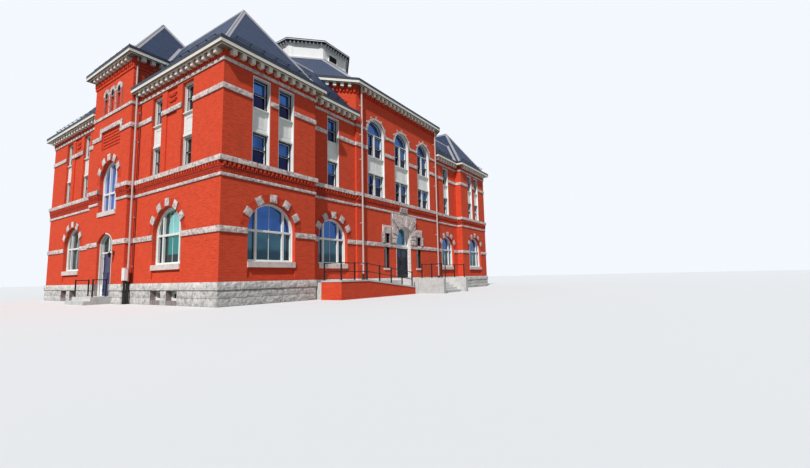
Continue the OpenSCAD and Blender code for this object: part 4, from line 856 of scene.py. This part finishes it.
def brick_dentils():
    """Dentils under the cornices and the string course, and courses on the brick panels."""
    bricks = Shape()
    dentil_row(bricks, wing_lines(0), (11.125, 11.238), (-0.11, -0.04), DENTIL_PITCH, 0.52)
    dentil_row(bricks, HALL_LINES + TOWER_LINES, (13.20, 13.455), (-0.11, 0.0), DENTIL_PITCH, 0.52)
    dentil_row(bricks, at(0), (6.17, 6.325), (-0.105, 0.0), DENTIL_PITCH, 0.5, [LANDING_WINDOW])
    dentil_row(bricks, at(0), (6.09, 6.17), (-0.085, 0.0), DENTIL_PITCH / 2, 0.55, [LANDING_WINDOW])
    dentil_row(bricks, at(0), (5.85, 5.965), (-0.045, 0.0), DENTIL_PITCH / 2, 0.5, [LANDING_WINDOW])
    for m in SIDE_FACES:
        for half, z in ((0.42, 10.58), (0.30, 10.50), (0.42, 10.30), (0.30, 10.22)):
            bricks.box(m, (-half, 0.01, z), (half, 0.062, z + 0.06))
    for k in range(5):
        z = 9.06 + 0.19 * k
        bricks.box(TOWER_FACE, (-1.18, 0.028, z), (1.18, 0.062, z + 0.055))
    bricks.piece("brick_dentils", HEADER, "brick")


# The portal: wedge stones around the arch, and shoulders with slits on both sides.
WEDGES = 13
WEDGE_R = 0.955
WEDGE_JOINT = 0.022
SURROUND_HALF = 1.57
SURROUND_RISE = 1.79
SLIT_X = 2.1
SLIT_HALF = 0.283


def wedge_reach(a):
    """Distance from the arch's centre to the edge of the surround, in the direction a."""
    return min(SURROUND_HALF / max(abs(math.cos(a)), 0.01), SURROUND_RISE / max(math.sin(a), 0.01))


def wedge_loop(a0, a1):
    """Outline of the wedge between two angles, with the surround's corner where it lies between them."""
    def point(r, a, shift=0.0):
        return r * math.cos(a) - shift * math.sin(a), PORTAL_SPRING + r * math.sin(a) + shift * math.cos(a)

    first = [point(r, a0, WEDGE_JOINT) for r in (WEDGE_R, wedge_reach(a0) - WEDGE_JOINT)]
    last = [point(r, a1, -WEDGE_JOINT) for r in (wedge_reach(a1) - WEDGE_JOINT, WEDGE_R)]
    corner = math.atan2(SURROUND_RISE, SURROUND_HALF)
    corners = [a for a in (corner, math.pi - corner) if a0 + 0.02 < a < a1 - 0.02]
    outer = [point(wedge_reach(a) - WEDGE_JOINT * 1.4, a) for a in corners]
    return first + outer + last + [point(WEDGE_R, (a0 + a1) / 2)]


def portal_stones():
    """Wedge stones, jamb stones, shoulder stones and the stepped block over the crown."""
    stones = Shape()
    for k, (a0, a1) in enumerate(half_turn(WEDGES)):
        outer_y = -0.120 - 0.040 * (k % 2) - random.uniform(0, 0.02)
        stones.plate(PORTAL, wedge_loop(a0, a1), outer_y, -0.09)
    for s in (-1, 1):
        x0, x1 = span(s, 0.96, SURROUND_HALF)
        stones.stone(PORTAL, (x0, -0.10, 3.49), (x1, 3.84), 0.03)
        x0, x1 = span(s, 2.41, 2.69)
        for z0, z1 in ((3.49, 3.72), (3.73, 3.95), (3.96, 4.15)):
            stones.stone(PORTAL, (x0, -0.10, z0), (x1, z1), 0.03)
        stones.stone(PORTAL, (s * SLIT_X - 0.49, -0.06, 4.17), (s * SLIT_X + 0.49, 4.71), 0.03)
    for k in range(3):
        half, y, z = 0.50 - 0.05 * k, -0.12 - 0.02 * k, 5.84 + 0.12 * k
        stones.box(PORTAL, (-half, y, z), (half, -0.08, z + 0.11), 0.012)
    stones.piece("portal_stones", GRANITE, "granite")


def slit_linings():
    """Dark jambs and heads in the slits of the shoulders."""
    linings = Shape()
    for x in (-SLIT_X, SLIT_X):
        for z0, z1 in ((1.755, 3.195), (3.485, 4.155)):
            for jamb in (x - 0.291, x + 0.291):
                linings.box(PORTAL, (jamb - 0.008, 0.012, z0), (jamb + 0.008, 0.225, z1), 0.002)
            linings.box(PORTAL, (x - SLIT_HALF, 0.012, z1 - 0.016), (x + SLIT_HALF, 0.225, z1), 0.002)
    linings.piece("slit_linings", DARK, "dark_door_paint")


# Windows: white casings in the reveals, dark sashes inside the white frames, and thin bars.
REVEAL_Y = 0.225
FRAME_Y = 0.235
SASH_Y = (0.214, 0.236)
CASING_Y = 0.185
BEAD_Y = (0.144, 0.156)
BEAD_Z = (8.38, 8.44, 9.04, 9.10)
BAR_Y = (0.316, 0.332)
GROUND_SILL = 1.95
PANEL_TOP = (8.125, 8.15)
COLUMN_SILL = 6.60
COLUMN_HEAD = (10.80, 10.85)
SIDE_DOOR_R = 1.25
SIDE_DOOR_CENTRE = 2.70


def sash(shape, m, x0, x1, z0, z1, rail, width):
    xs, zs = (x0, x0 + width, x1 - width, x1), (z0, z0 + width, z1 - width, z1)
    shape.frame(m, xs, zs, SASH_Y, 0.004)
    shape.box(m, (xs[1], SASH_Y[0], rail - 0.028), (xs[2], SASH_Y[1], rail + 0.028), 0.004)


def column_window(casing, sashes, m, deep, half, reach, trim, width):
    """Tall window over a panel, in a casing set back by deep. The sashes lie within reach."""
    for x in (half - COLUMN_HALF, COLUMN_HALF - half):
        casing.box(m, (x - half, deep, STRING[1]), (x + half, REVEAL_Y, COLUMN_HEAD[1]), 0.004)
    for y, (z0, z1) in ((deep, COLUMN_HEAD), (deep, (STRING[1], COLUMN_SILL)), (0.08, PANEL_TOP)):
        casing.box(m, (-0.462, y, z0), (0.462, REVEAL_Y, z1), 0.004)
    casing.frame(m, (-0.40, -0.30, 0.30, 0.40), BEAD_Z, BEAD_Y, 0.006)
    for z0, z1, rail in SASHES:
        sash(sashes, m, -reach, reach, z0 + trim, z1 - trim, rail, width)


def paired_window(casing, sashes, m):
    """Pair of windows over panels, with a post between them and an arch over both."""
    inner, outer = 0.112, 0.908
    for s in (-1, 1):
        x = s * 0.929
        casing.box(m, (x - 0.021, 0.01, STRING[1]), (x + 0.021, REVEAL_Y, BAY_SPRING), 0.004)
        for (z0, _, rail), z1 in zip(SASHES, (8.118, 10.92)):
            sash(sashes, m, *span(s, inner, outer), z0, z1, rail, 0.06)
        casing.frame(m, sorted(s * edge for edge in (0.12, 0.17, 0.75, 0.82)), BEAD_Z, BEAD_Y, 0.006)
    sashes.arc_strip(m, 0.82, 0.885, BAY_SPRING, *SASH_Y, parts=24)
    casing.arc_strip(m, outer, BAY_HALF - 0.001, BAY_SPRING, 0.01, REVEAL_Y, parts=24)
    casing.box(m, (-outer, 0.01, STRING[1]), (outer, REVEAL_Y, COLUMN_SILL), 0.004)
    casing.box(m, (-outer, 0.08, PANEL_TOP[0]), (outer, REVEAL_Y, PANEL_TOP[1]), 0.004)
    for z0, z1 in ((COLUMN_SILL, 8.12), (9.35, 10.93)):
        casing.box(m, (-0.105, 0.195, z0), (0.105, FRAME_Y, z1), 0.02)
    casing.box(m, (-0.90, CASING_Y, 10.925), (0.90, FRAME_Y, 10.985), 0.012)


def jambs(casing, m, r, foot, spring, inset, half, taper):
    """Upright casings on both sides of an arched window, up to its spring line."""
    for x in (inset - r, r - inset):
        casing.box(m, (x - half, CASING_Y, foot), (x + half, FRAME_Y, spring), taper)


def ground_window(casing, bars, m, r):
    jambs(casing, m, r, GROUND_SILL, ARCH_SPRING, 0.025, 0.023, 0.006)
    casing.arc_strip(m, r - 0.05, r - 0.002, ARCH_SPRING, CASING_Y, FRAME_Y, parts=28)
    casing.box(m, (0.05 - r, 0.17, GROUND_SILL), (r - 0.05, FRAME_Y, 2.00), 0.006)
    casing.box(m, (0.1 - r, 0.222, 3.385), (r - 0.1, 0.232, 3.455), 0.003)
    for z0, z1 in ((2.06, 3.36), (3.48, ARCH_SPRING + r - 0.12)):
        bars.box(m, (-0.012, BAR_Y[0], z0), (0.012, BAR_Y[1], z1), 0.003)


def landing_window(casing):
    jambs(casing, TOWER_FACE, SMALL_ARCH, LANDING_Z, LANDING_SPRING, 0.03, 0.024, 0.005)
    inner, outer = SMALL_ARCH - 0.054, SMALL_ARCH - 0.005
    casing.arc_strip(TOWER_FACE, inner, outer, LANDING_SPRING, CASING_Y, FRAME_Y, parts=28)


def side_door(casing):
    """Casing of the side door, flush with the brick on the right and set back on the left."""
    foot, head = 0.412, 3.45
    casing.box(TOWER_FACE, (-0.998, 0.13, foot), (-0.945, 0.20, head), 0.003)
    casing.box(TOWER_FACE, (0.938, 0.004, foot), (0.998, 0.20, head), 0.003)
    arc = math.asin(SIDE_DOOR_HALF / SIDE_DOOR_R)
    top = math.pi / 2
    for y, a0, a1 in ((0.13, top, top + arc), (0.004, top - arc, top)):
        casing.arc_strip(TOWER_FACE, 1.19, SIDE_DOOR_R - 0.002, SIDE_DOOR_CENTRE, y, 0.20, a0, a1, 10)


def windows():
    casing, sashes, bars = Shape(), Shape(), Shape()
    for m in FRONT_COLUMNS:
        column_window(casing, sashes, m, 0.01, 0.019, 0.464, 0.0, 0.078)
    for m in SIDE_COLUMNS:
        column_window(casing, sashes, m, 0.13, 0.010, 0.42, 0.046, 0.032)
    for m in PAIRED:
        paired_window(casing, sashes, m)
    for m, r in GROUND_WINDOWS:
        ground_window(casing, bars, m, r)
    landing_window(casing)
    side_door(casing)
    casing.piece("window_casings", WHITE, "painted_wood")
    sashes.piece("window_sashes", DARK, "dark_door_paint")
    bars.piece("sash_bars", WHITE, "painted_wood")


def panel_ledges():
    """Brick ledge at the foot of the recessed panel under each ground window."""
    ledges = Shape()
    for m, r in GROUND_WINDOWS:
        ledges.box(m, (-r, 0.004, WALL_FOOT + 0.005), (r, 0.062, 1.20))
        ledges.box(m, (-r, 0.030, 1.20), (r, 0.062, 1.24))
    ledges.piece("panel_ledges", BRICK, "brick")


# Roofs: slope of their sides, the normals of the four ways a side can face, and the ridge of a wing.
SLOPE = 1.46
WAYS = ((-1, 0), (1, 0), (0, -1), (0, 1))
NORMALS = [Vector((x * SLOPE, y * SLOPE, 1)).normalized() for x, y in WAYS]
WEST_SIDE, EAST_SIDE, SOUTH_SIDE, NORTH_SIDE = NORMALS
RIDGE_X = PAVILION / 2
RIDGE_Z = WING_EAVE + SLOPE * (RIDGE_X + ROOF_OUT)
TOWER_VALLEY = 1.48
LINK_SPAN = 3.5


def mirrored(p, x, y=False):
    """A point at the other end or the other side of the building."""
    return (FRONT - p[0] if x else p[0], DEPTH - p[1] if y else p[1], p[2])


def side_of(n, x, y=False):
    return Vector((-n.x if x else n.x, -n.y if y else n.y, n.z))


def hip_sheets(shape, low, high, width, roll):
    """Sheets over every hip between a ring of eave points and the points above them."""
    count = len(low)
    slopes = []
    for i in range(count):
        k = (i + 1) % count
        a, b, c, d = (Vector(p) for p in (low[i], low[k], high[k], high[i]))
        far = c if (c - a).length > (d - a).length else d
        n = (b - a).cross(far - a).normalized()
        slopes.append(n if n.z > 0 else -n)
    for i in range(count):
        shape.fold(low[i], high[i], slopes[i - 1], slopes[i], width, roll=roll)


def wing_sheets(shape, mx):
    """Hips and ridges of one wing; the tower's roof cuts the ridge of the west wing."""
    x0, x1, y0, y1 = -ROOF_OUT, PAVILION + ROOF_OUT, -ROOF_OUT, DEPTH + ROOF_OUT
    ridge_0, ridge_1 = RIDGE_X, DEPTH - RIDGE_X
    low = [mirrored((x, y, WING_EAVE), mx) for x, y in ((x0, y0), (x1, y0), (x1, y1), (x0, y1))]
    high = [mirrored((RIDGE_X, y, RIDGE_Z), mx) for y in (ridge_0, ridge_0, ridge_1, ridge_1)]
    hip_sheets(shape, low, high, 0.14, 0.04)
    cut = TOWER_0 - ROOF_OUT + TOWER_VALLEY
    for a, b in ((ridge_0, ridge_1),) if mx else ((ridge_0, cut), (DEPTH - cut, ridge_1)):
        p, q = (mirrored((RIDGE_X, y, RIDGE_Z), mx) for y in (a, b))
        shape.fold(p, q, WEST_SIDE, EAST_SIDE, 0.17, roll=0.04)


def link_sheets(shape, mx, my):
    """Ridge of a link's roof, and its valleys with the wing's roof."""
    east_side, south_side, north_side = (side_of(n, mx, my) for n in (EAST_SIDE, SOUTH_SIDE, NORTH_SIDE))
    x, y = PAVILION + ROOF_OUT, LINK_Y - ROOF_OUT
    half = LINK_SPAN / 2
    z = WING_EAVE + SLOPE * half
    corner = mirrored((x - half, y + half, z), mx, my)
    end = mirrored((7.22, y + half, z), mx, my)
    shape.fold(corner, end, south_side, north_side, 0.14, roll=0.03)
    for foot, side in ((y, south_side), (y + LINK_SPAN, north_side)):
        shape.fold(mirrored((x, foot, WING_EAVE), mx, my), corner, east_side, side, 0.16, 0.022, valley=True)


def tower_sheets(shape):
    """Hips of the tower's roof, and its valleys with the wing's roof."""
    low = [(*p, HALL_EAVE) for p in tower_outline(ROOF_OUT)]
    x, y, _ = low[0]
    half = (TOWER_1 - TOWER_0) / 2 + ROOF_OUT
    hip_sheets(shape, low, [(x + half, MID_Y, HALL_EAVE + SLOPE * half)] * 4, 0.15, 0.035)
    for my in (False, True):
        top = mirrored((RIDGE_X, y + TOWER_VALLEY, RIDGE_Z), False, my)
        for reach, side in ((-TOWER_VALLEY, WEST_SIDE), (TOWER_VALLEY, EAST_SIDE)):
            foot = mirrored((RIDGE_X + reach, y, HALL_EAVE), False, my)
            shape.fold(foot, top, side, side_of(SOUTH_SIDE, False, my), 0.14, 0.022, valley=True)


def roof_sheets():
    """Folded sheets on hips, ridges and valleys, and around the lantern's foot."""
    sheets = Shape()
    for mx in (False, True):
        wing_sheets(sheets, mx)
        for my in (False, True):
            link_sheets(sheets, mx, my)
    tower_sheets(sheets)
    hall_low = [(*p, HALL_EAVE) for p in hall_outline(ROOF_OUT)]
    hip_sheets(sheets, hall_low, [(*p, LANTERN_FOOT) for p in octagon(3.46)], 0.15, 0.035)
    cap_low = [(*p, LANTERN_EAVE + 0.15) for p in octagon(3.72)]
    hip_sheets(sheets, cap_low, [(*p, TOP_Z - 0.066) for p in octagon(0.2)], 0.10, 0.02)
    for m, length in walls(closed_lines(octagon(3.41))):
        sheets.box(m, (-0.02, -0.10, LANTERN_FOOT - 0.01), (length + 0.02, 0.0, LANTERN_FOOT + 0.12))
    sheets.piece("roof_sheets", SHEET, "gutter_metal")


def eaves(d, wing_z, hall_z):
    """Wall frame, length and level of every eave line, moved outward by d."""
    upper = closed_lines(hall_outline(d)) + closed_lines(tower_outline(d))
    for lines, z in ((wing_lines(d), wing_z), (upper, hall_z)):
        for m, length in walls(lines):
            yield m, length, z


STRAP_PITCH = 0.9


def gutter_beads():
    """Rolled edges, straps and hooks of the gutters."""
    beads = Shape()
    for m, length, z in eaves(GUTTER_OUT, WING_EAVE, HALL_EAVE):
        beads.box(m, (0.0, -0.004, z + 0.155), (length, 0.02, z + 0.182), 0.002)
        count = max(1, int(length / STRAP_PITCH))
        for k in range(count):
            x = (k + 0.5) * length / count
            beads.box(m, (x - 0.012, -0.003, z + 0.005), (x + 0.012, 0.005, z + 0.155), 0.001)
            beads.box(m, (x - 0.012, -0.003, z + 0.178), (x + 0.012, 0.20, z + 0.184), 0.001)
    beads.piece("gutter_beads", GUTTER, "gutter_metal")


def cornice_mouldings():
    """Painted mouldings under the gutters and along the foot of the cornice boards."""
    mouldings = Shape()
    for m, length, z in eaves(GUTTER_OUT, WING_EAVE, HALL_EAVE):
        mouldings.box(m, (0.0, -0.004, z - 0.05), (length, 0.05, z - 0.004), 0.003)
    for m, length, z in eaves(BOARD_OUT, WING_SOFFIT, HALL_SOFFIT):
        mouldings.box(m, (-0.004, -0.012, z - 0.028), (length + 0.004, 0.025, z + 0.002), 0.006)
    mouldings.piece("cornice_mouldings", CREAM, "painted_wood")


GUARD_UP = 0.55
RAIL_HEIGHTS = (0.10, 0.19, 0.28)
BRACKET_HEIGHT = 0.31


def guard(shape, a, b, n):
    """Snow guard of three rails on brackets, on a slope with the normal n."""
    a, b = Vector(a), Vector(b)
    run = (b - a).normalized()
    down = n.cross(run).normalized()
    down = down if down.z < 0 else -down
    top = n * BRACKET_HEIGHT
    side = down * 0.02
    for h in RAIL_HEIGHTS:
        shape.rod(a + n * h, b + n * h, 0.013, 6)
    count = max(2, round((b - a).length / 0.8))
    for k in range(count + 1):
        p = a + (b - a) * k / count
        shape.along(p - run * 0.008, p + run * 0.008, [-side, side, top + side, top - side])
        shape.rod(p - down * 0.22 + n * 0.01, p + top, 0.010, 6)


def snow_guards():
    guards = Shape()
    both = (False, True)
    run = GUARD_UP / math.hypot(1, SLOPE)
    link_y = LINK_Y - ROOF_OUT
    rows = (((0.5, -ROOF_OUT), (5.0, -ROOF_OUT), (0, run), SOUTH_SIDE, both),
            ((-ROOF_OUT, 0.5), (-ROOF_OUT, 7.4), (run, 0), WEST_SIDE, (False,)),
            ((-ROOF_OUT, 14.0), (-ROOF_OUT, 20.9), (run, 0), WEST_SIDE, (False,)),
            ((6.3, link_y), (8.6, link_y), (0, run), SOUTH_SIDE, both))
    for a, b, (dx, dy), n, sides in rows:
        ends = [(x + dx, y + dy, WING_EAVE + run * SLOPE) for x, y in (a, b)]
        for mx in both:
            for my in sides:
                guard(guards, *(mirrored(p, mx, my) for p in ends), side_of(n, mx, my))
    guard(guards, (TOWER_X, 8.3, 14.2), (TOWER_X, 13.1, 14.2), WEST_SIDE)
    guards.piece("snow_guards", GUARD, "gutter_metal")


def lantern_wall(trim, m, length):
    """Brackets, mouldings and board joints of one side of the lantern."""
    foot, eave = LANTERN_FOOT, LANTERN_EAVE
    for k in range(9):
        x = 0.14 + (length - 0.28) * k / 8
        trim.box(m, (x - 0.045, -0.24, eave - 0.15), (x + 0.045, 0.0, eave - 0.005), 0.008)
        trim.box(m, (x - 0.035, -0.13, eave - 0.25), (x + 0.035, 0.0, eave - 0.15), 0.006)
    trim.box(m, (-0.02, -0.035, eave - 0.33), (length + 0.02, 0.01, eave - 0.26), 0.008)
    trim.box(m, (-0.02, -0.05, foot + 0.12), (length + 0.02, 0.01, foot + 0.20), 0.008)
    for k in range(1, 12):
        x = 0.31 + (length - 0.62) * k / 12
        trim.box(m, (x - 0.012, 0.028, foot + 0.24), (x + 0.012, 0.05, eave - 0.35), 0.004)


def lantern_opening(trim, louvre, m):
    """Frame and slats of the louvre in the front of the lantern."""
    x0, x1, z0, z1 = 0.72, 1.62, LANTERN_FOOT + 0.30, LANTERN_FOOT + 0.84
    edge = 0.06
    trim.frame(m, (x0 - edge, x0, x1, x1 + edge), (z0 - edge, z0, z1, z1 + edge), (-0.03, 0.05), 0.006)
    louvre.box(m, (x0, 0.0, z0), (x1, 0.06, z1))
    for k in range(8):
        z = z0 + 0.02 + 0.062 * k
        section = ((-0.02, z), (-0.012, z - 0.008), (0.03, z + 0.04), (0.022, z + 0.048))
        louvre.prism(*([m @ Vector((x, y, up)) for y, up in section] for x in (x0 + 0.04, x1 - 0.04)))


def lantern():
    """Trim, front louvre and metal edging of the lantern."""
    trim, louvre, edging = Shape(), Shape(), Shape()
    for m, length in walls(closed_lines(octagon(3.4))):
        lantern_wall(trim, m, length)
        if m.col[1].y > 0.99:
            lantern_opening(trim, louvre, m)
    for m, length in walls(closed_lines(octagon(3.75))):
        trim.box(m, (-0.012, -0.02, LANTERN_EAVE + 0.01), (length + 0.012, 0.02, LANTERN_EAVE + 0.07), 0.008)
        edging.box(m, (0.0, -0.02, LANTERN_EAVE + 0.08), (length, 0.03, LANTERN_EAVE + 0.155), 0.006)
    trim.piece("lantern_trim", WHITE, "painted_wood")
    louvre.piece("lantern_louvre", LOUVRE, "dark_door_paint")
    edging.piece("lantern_edging", GUTTER, "gutter_metal")


PIPE_OUT = 0.19
BAY_PIPE_X = BAY_X + 0.35
COLLAR_Z = (2.0, 4.6, 8.8, 10.3, 12.3)


def downspouts():
    """Collars, outlets and iron feet. Each pipe has a place and the levels of its ends."""
    collars, feet = Shape(), Shape()
    pipes = ((BAY_PIPE_X, BAY_Y - PIPE_OUT, 1.0, HALL_SOFFIT),
             (FRONT - BAY_PIPE_X, BAY_Y - PIPE_OUT, 0.0, HALL_SOFFIT),
             (-PIPE_OUT, TOWER_0 - PIPE_OUT, 0.0, WING_SOFFIT))
    for x, y, z0, z1 in pipes:
        for z in COLLAR_Z:
            if z < z1 - 0.5:
                collars.post(x, y, z - 0.03, z + 0.045, 0.064)
        collars.post(x, y, z1 - 0.22, z1 - 0.002, 0.075)
        collars.post(x, y, z1 - 0.30, z1 - 0.20, 0.062)
        top = z0 + (1.15 if z0 == 0.0 else 0.35)
        feet.post(x, y, z0 + 0.002, top, 0.068, 18)
        feet.post(x, y, top - 0.10, top + 0.02, 0.080, 18)
        feet.post(x, y, z0 + 0.001, z0 + 0.12, 0.082, 18)
    x, y = -PIPE_OUT, TOWER_0 - 0.052
    collars.post(x, y, 11.745, HALL_SOFFIT - 0.002, 0.045)
    for z in (11.75, 12.55, 13.48):
        collars.post(x, y, z, z + 0.075, 0.058)
    collars.piece("pipe_collars", PIPE, "pipe_paint")
    feet.piece("pipe_feet", IRON, "rail_paint")


def wall_place(m, x, y, z=0.0):
    """A point in a wall's frame, as a place in the corner's frame."""
    return m @ Vector((x, y, z)) - CORNER


def door_lamp():
    """Lamp on a curved arm to the right of the side door, and its globe."""
    lamp, globe = Shape(), Shape()
    x, arm_y, arm_z = 1.31, -0.13, 2.80
    lamp.box(TOWER_FACE, (x - 0.07, -0.045, 2.62), (x + 0.07, 0.0, 2.86), 0.012)
    for turns in half_turn(10):
        bend = [(arm_y + 0.09 * math.cos(t), arm_z + 0.10 * math.sin(t)) for t in turns]
        lamp.rod(*(wall_place(TOWER_FACE, x, y, z) for y, z in bend), 0.012)
    axis = wall_place(TOWER_FACE, x, arm_y - 0.09)
    for z0, z1, r in ((2.74, 2.80, 0.025), (2.68, 2.745, 0.085), (2.66, 2.69, 0.10), (2.62, 2.66, 0.075)):
        lamp.post(axis.x, axis.y, z0, z1, r, 20)
    globe.post(axis.x, axis.y, 2.50, 2.625, 0.055, 20)
    lamp.piece("door_lamp", BLACK, "rail_paint")
    globe.piece("door_lamp_globe", LOUVRE, "rail_paint")


def service_box():
    """Box beside the tower's pipe, with pipes into the ground and one up the wall."""
    box, pipes = Shape(), Shape()
    m = west(7.99, -0.255)
    box.box(m, (-0.17, -0.16, 1.22), (0.17, 0.0, 1.88), 0.012)
    box.box(m, (-0.185, -0.175, 1.865), (0.185, 0.0, 1.90), 0.010)
    box.box(m, (-0.13, -0.168, 1.27), (0.13, -0.156, 1.83), 0.008)
    for x in (-0.08, 0.08):
        pipes.rod(wall_place(m, x, -0.08, 0.002), wall_place(m, x, -0.08, 1.225), 0.030, 12)
    m = west(7.80)
    pipes.rod(wall_place(m, 0, -0.03, 1.1), wall_place(m, 0, -0.03, 11.2), 0.020)
    box.piece("service_box", WHITE, "pipe_paint")
    pipes.piece("service_pipes", IRON, "rail_paint")


def door_threshold():
    strip = Shape()
    low, high = WALL_FOOT + 0.0002, WALL_FOOT + 0.0045
    strip.box(PORTAL, (-PORTAL_HALF, 0.10, low), (PORTAL_HALF, 0.42, high), 0.001)
    strip.piece("door_threshold", SHEET, "gutter_metal")


REVEAL_R = 0.949


def door_casings():
    """White casings in the reveal of the entrance, and the transom under the fanlight."""
    casing = Shape()
    for a0, a1 in half_turn(18):
        casing.arc_strip(PORTAL, 0.885, REVEAL_R, PORTAL_SPRING, 0.195, FRAME_Y, a0, a1, 2)
    casing.box(PORTAL, (-PORTAL_HALF, 0.19, 3.201), (PORTAL_HALF, FRAME_Y, 3.30), 0.012)
    casing.box(PORTAL, (-PORTAL_HALF, 0.175, 3.30), (PORTAL_HALF, FRAME_Y, 3.33), 0.006)
    for s in (-1, 1):
        x0, x1 = span(s, 0.881, REVEAL_R)
        casing.box(PORTAL, (x0, 0.195, WALL_FOOT + 0.01), (x1, FRAME_Y, PORTAL_SPRING), 0.006)
    casing.piece("door_casings", WHITE, "painted_wood")


def front_panes():
    """Pane of each front door leaf, with a bead at its foot and its head. It moves with the leaf."""
    foot, head = 1.293, 3.077
    for s, leaf in ((-1, "front_door_left"), (1, "front_door_right")):
        pane = Shape()
        x0, x1 = span(s, 0.118, 0.747)
        pane.box(PORTAL, (x0, 0.2365, foot), (x1, 0.2402, head), 0.001)
        for z in (foot, head - 0.02):
            pane.box(PORTAL, (x0, 0.2335, z), (x1, 0.2375, z + 0.02), 0.001)
        pane.piece(leaf.replace("door", "pane"), PANE, "window_glass", leaf)


def portal_lining():
    """Dressed stone in the reveal of the portal: an arch, and eight stones on each side."""
    lining = Shape()
    inner = 0.925
    lining.arc_strip(PORTAL, inner, REVEAL_R, PORTAL_SPRING, -0.09, 0.20, parts=24)
    for s in (-1, 1):
        x0, x1 = span(s, inner, REVEAL_R)
        for k in range(8):
            z = WALL_FOOT + 0.01 + 0.3475 * k
            lining.box(PORTAL, (x0, -0.02, z), (x1, 0.20, z + 0.34), 0.003)
    lining.piece("portal_lining", DRESSED, "granite")


def eye_and_light(tree, light, eye, output):
    """Gives bounced light one shader, and the camera, glass and mirrors another."""
    path = tree.nodes.new("ShaderNodeLightPath")
    seen = path.outputs["Is Camera Ray"]
    for kind in ("Is Glossy Ray", "Is Transmission Ray"):
        either = tree.nodes.new("ShaderNodeMath")
        either.operation = "MAXIMUM"
        tree.links.new(seen, either.inputs[0])
        tree.links.new(path.outputs[kind], either.inputs[1])
        seen = either.outputs[0]
    blend = tree.nodes.new("ShaderNodeMixShader")
    for k, socket in enumerate((seen, light.outputs[0], eye.outputs[0])):
        tree.links.new(socket, blend.inputs[k])
    tree.links.new(blend.outputs[0], tree.nodes[output].inputs[0])


def studio_floor():
    """Pale floor under the building, which throws little light back."""
    mesh = bpy.data.meshes.new("studio_floor")
    reach = 400.0
    corners = [(-reach, -reach, 0), (reach, -reach, 0), (reach, reach, 0), (-reach, reach, 0)]
    mesh.from_pydata(corners, [], [[0, 1, 2, 3]])
    floor = new_object("studio_floor", mesh)
    pale = Paint("studio_floor", (0.8, 0.8, 0.8), Roughness=0.9)
    pale.shader.inputs["Base Color"].default_value = (0.78, 0.78, 0.77, 1)
    dim = pale.tree.nodes.new("ShaderNodeBsdfDiffuse")
    dim.inputs[0].default_value = (0.24, 0.24, 0.23, 1)
    eye_and_light(pale.tree, dim, pale.shader, "Material Output")
    pale.onto(floor)


def sky():
    """Soft blue light from the sky, which looks pale to the camera and in glass."""
    world = bpy.data.worlds.new("soft_sky")
    bpy.context.scene.world = world
    world.use_nodes = True
    tree = world.node_tree
    blue, pale = tree.nodes["Background"], tree.nodes.new("ShaderNodeBackground")
    for shader, colour, strength in ((blue, (0.74, 0.86, 1.0, 1), 0.34), (pale, (0.90, 0.94, 1.0, 1), 1.0)):
        shader.inputs[0].default_value = colour
        shader.inputs[1].default_value = strength
    eye_and_light(tree, blue, pale, "World Output")


def sun():
    lamp = bpy.data.lights.new("sun", "SUN")
    lamp.energy = 3.4
    lamp.angle = 0.015
    new_object("sun", lamp).rotation_euler = [math.radians(a) for a in (46, 0, -70)]


def photo_camera():
    """Camera solved from the building's own lines in a picture 810 wide."""
    picture_width, focal_length = 810, 398.5
    eye = Vector((-9.69, -15.89, 1.09))
    yaw, pitch, roll = (math.radians(a) for a in (-56.51, 6.18, -1.24))
    lens = bpy.data.cameras.new("photo_camera")
    lens.sensor_width = 36.0
    lens.lens = focal_length / picture_width * lens.sensor_width
    lens.clip_end = 2000
    camera = new_object("photo_camera", lens)
    turns = ((yaw, "Z"), (math.pi / 2 + pitch, "X"), (roll, "Z"))
    first, second, third = (Matrix.Rotation(a, 4, axis) for a, axis in turns)
    camera.matrix_world = Matrix.Translation(CORNER + eye) @ first @ second @ third
    bpy.context.scene.camera = camera


for make in (base_stones, ledge_stones, band_stones, arch_blocks, tower_light_bricks, tower_roundels,
             arch_bricks, brick_dentils, portal_stones, slit_linings, windows, panel_ledges, roof_sheets,
             gutter_beads, cornice_mouldings, snow_guards, lantern, downspouts, door_lamp, service_box,
             door_threshold, door_casings, front_panes, portal_lining, studio_floor, sky, sun, photo_camera):
    make()

bpy.context.scene.view_settings.view_transform = "Standard"
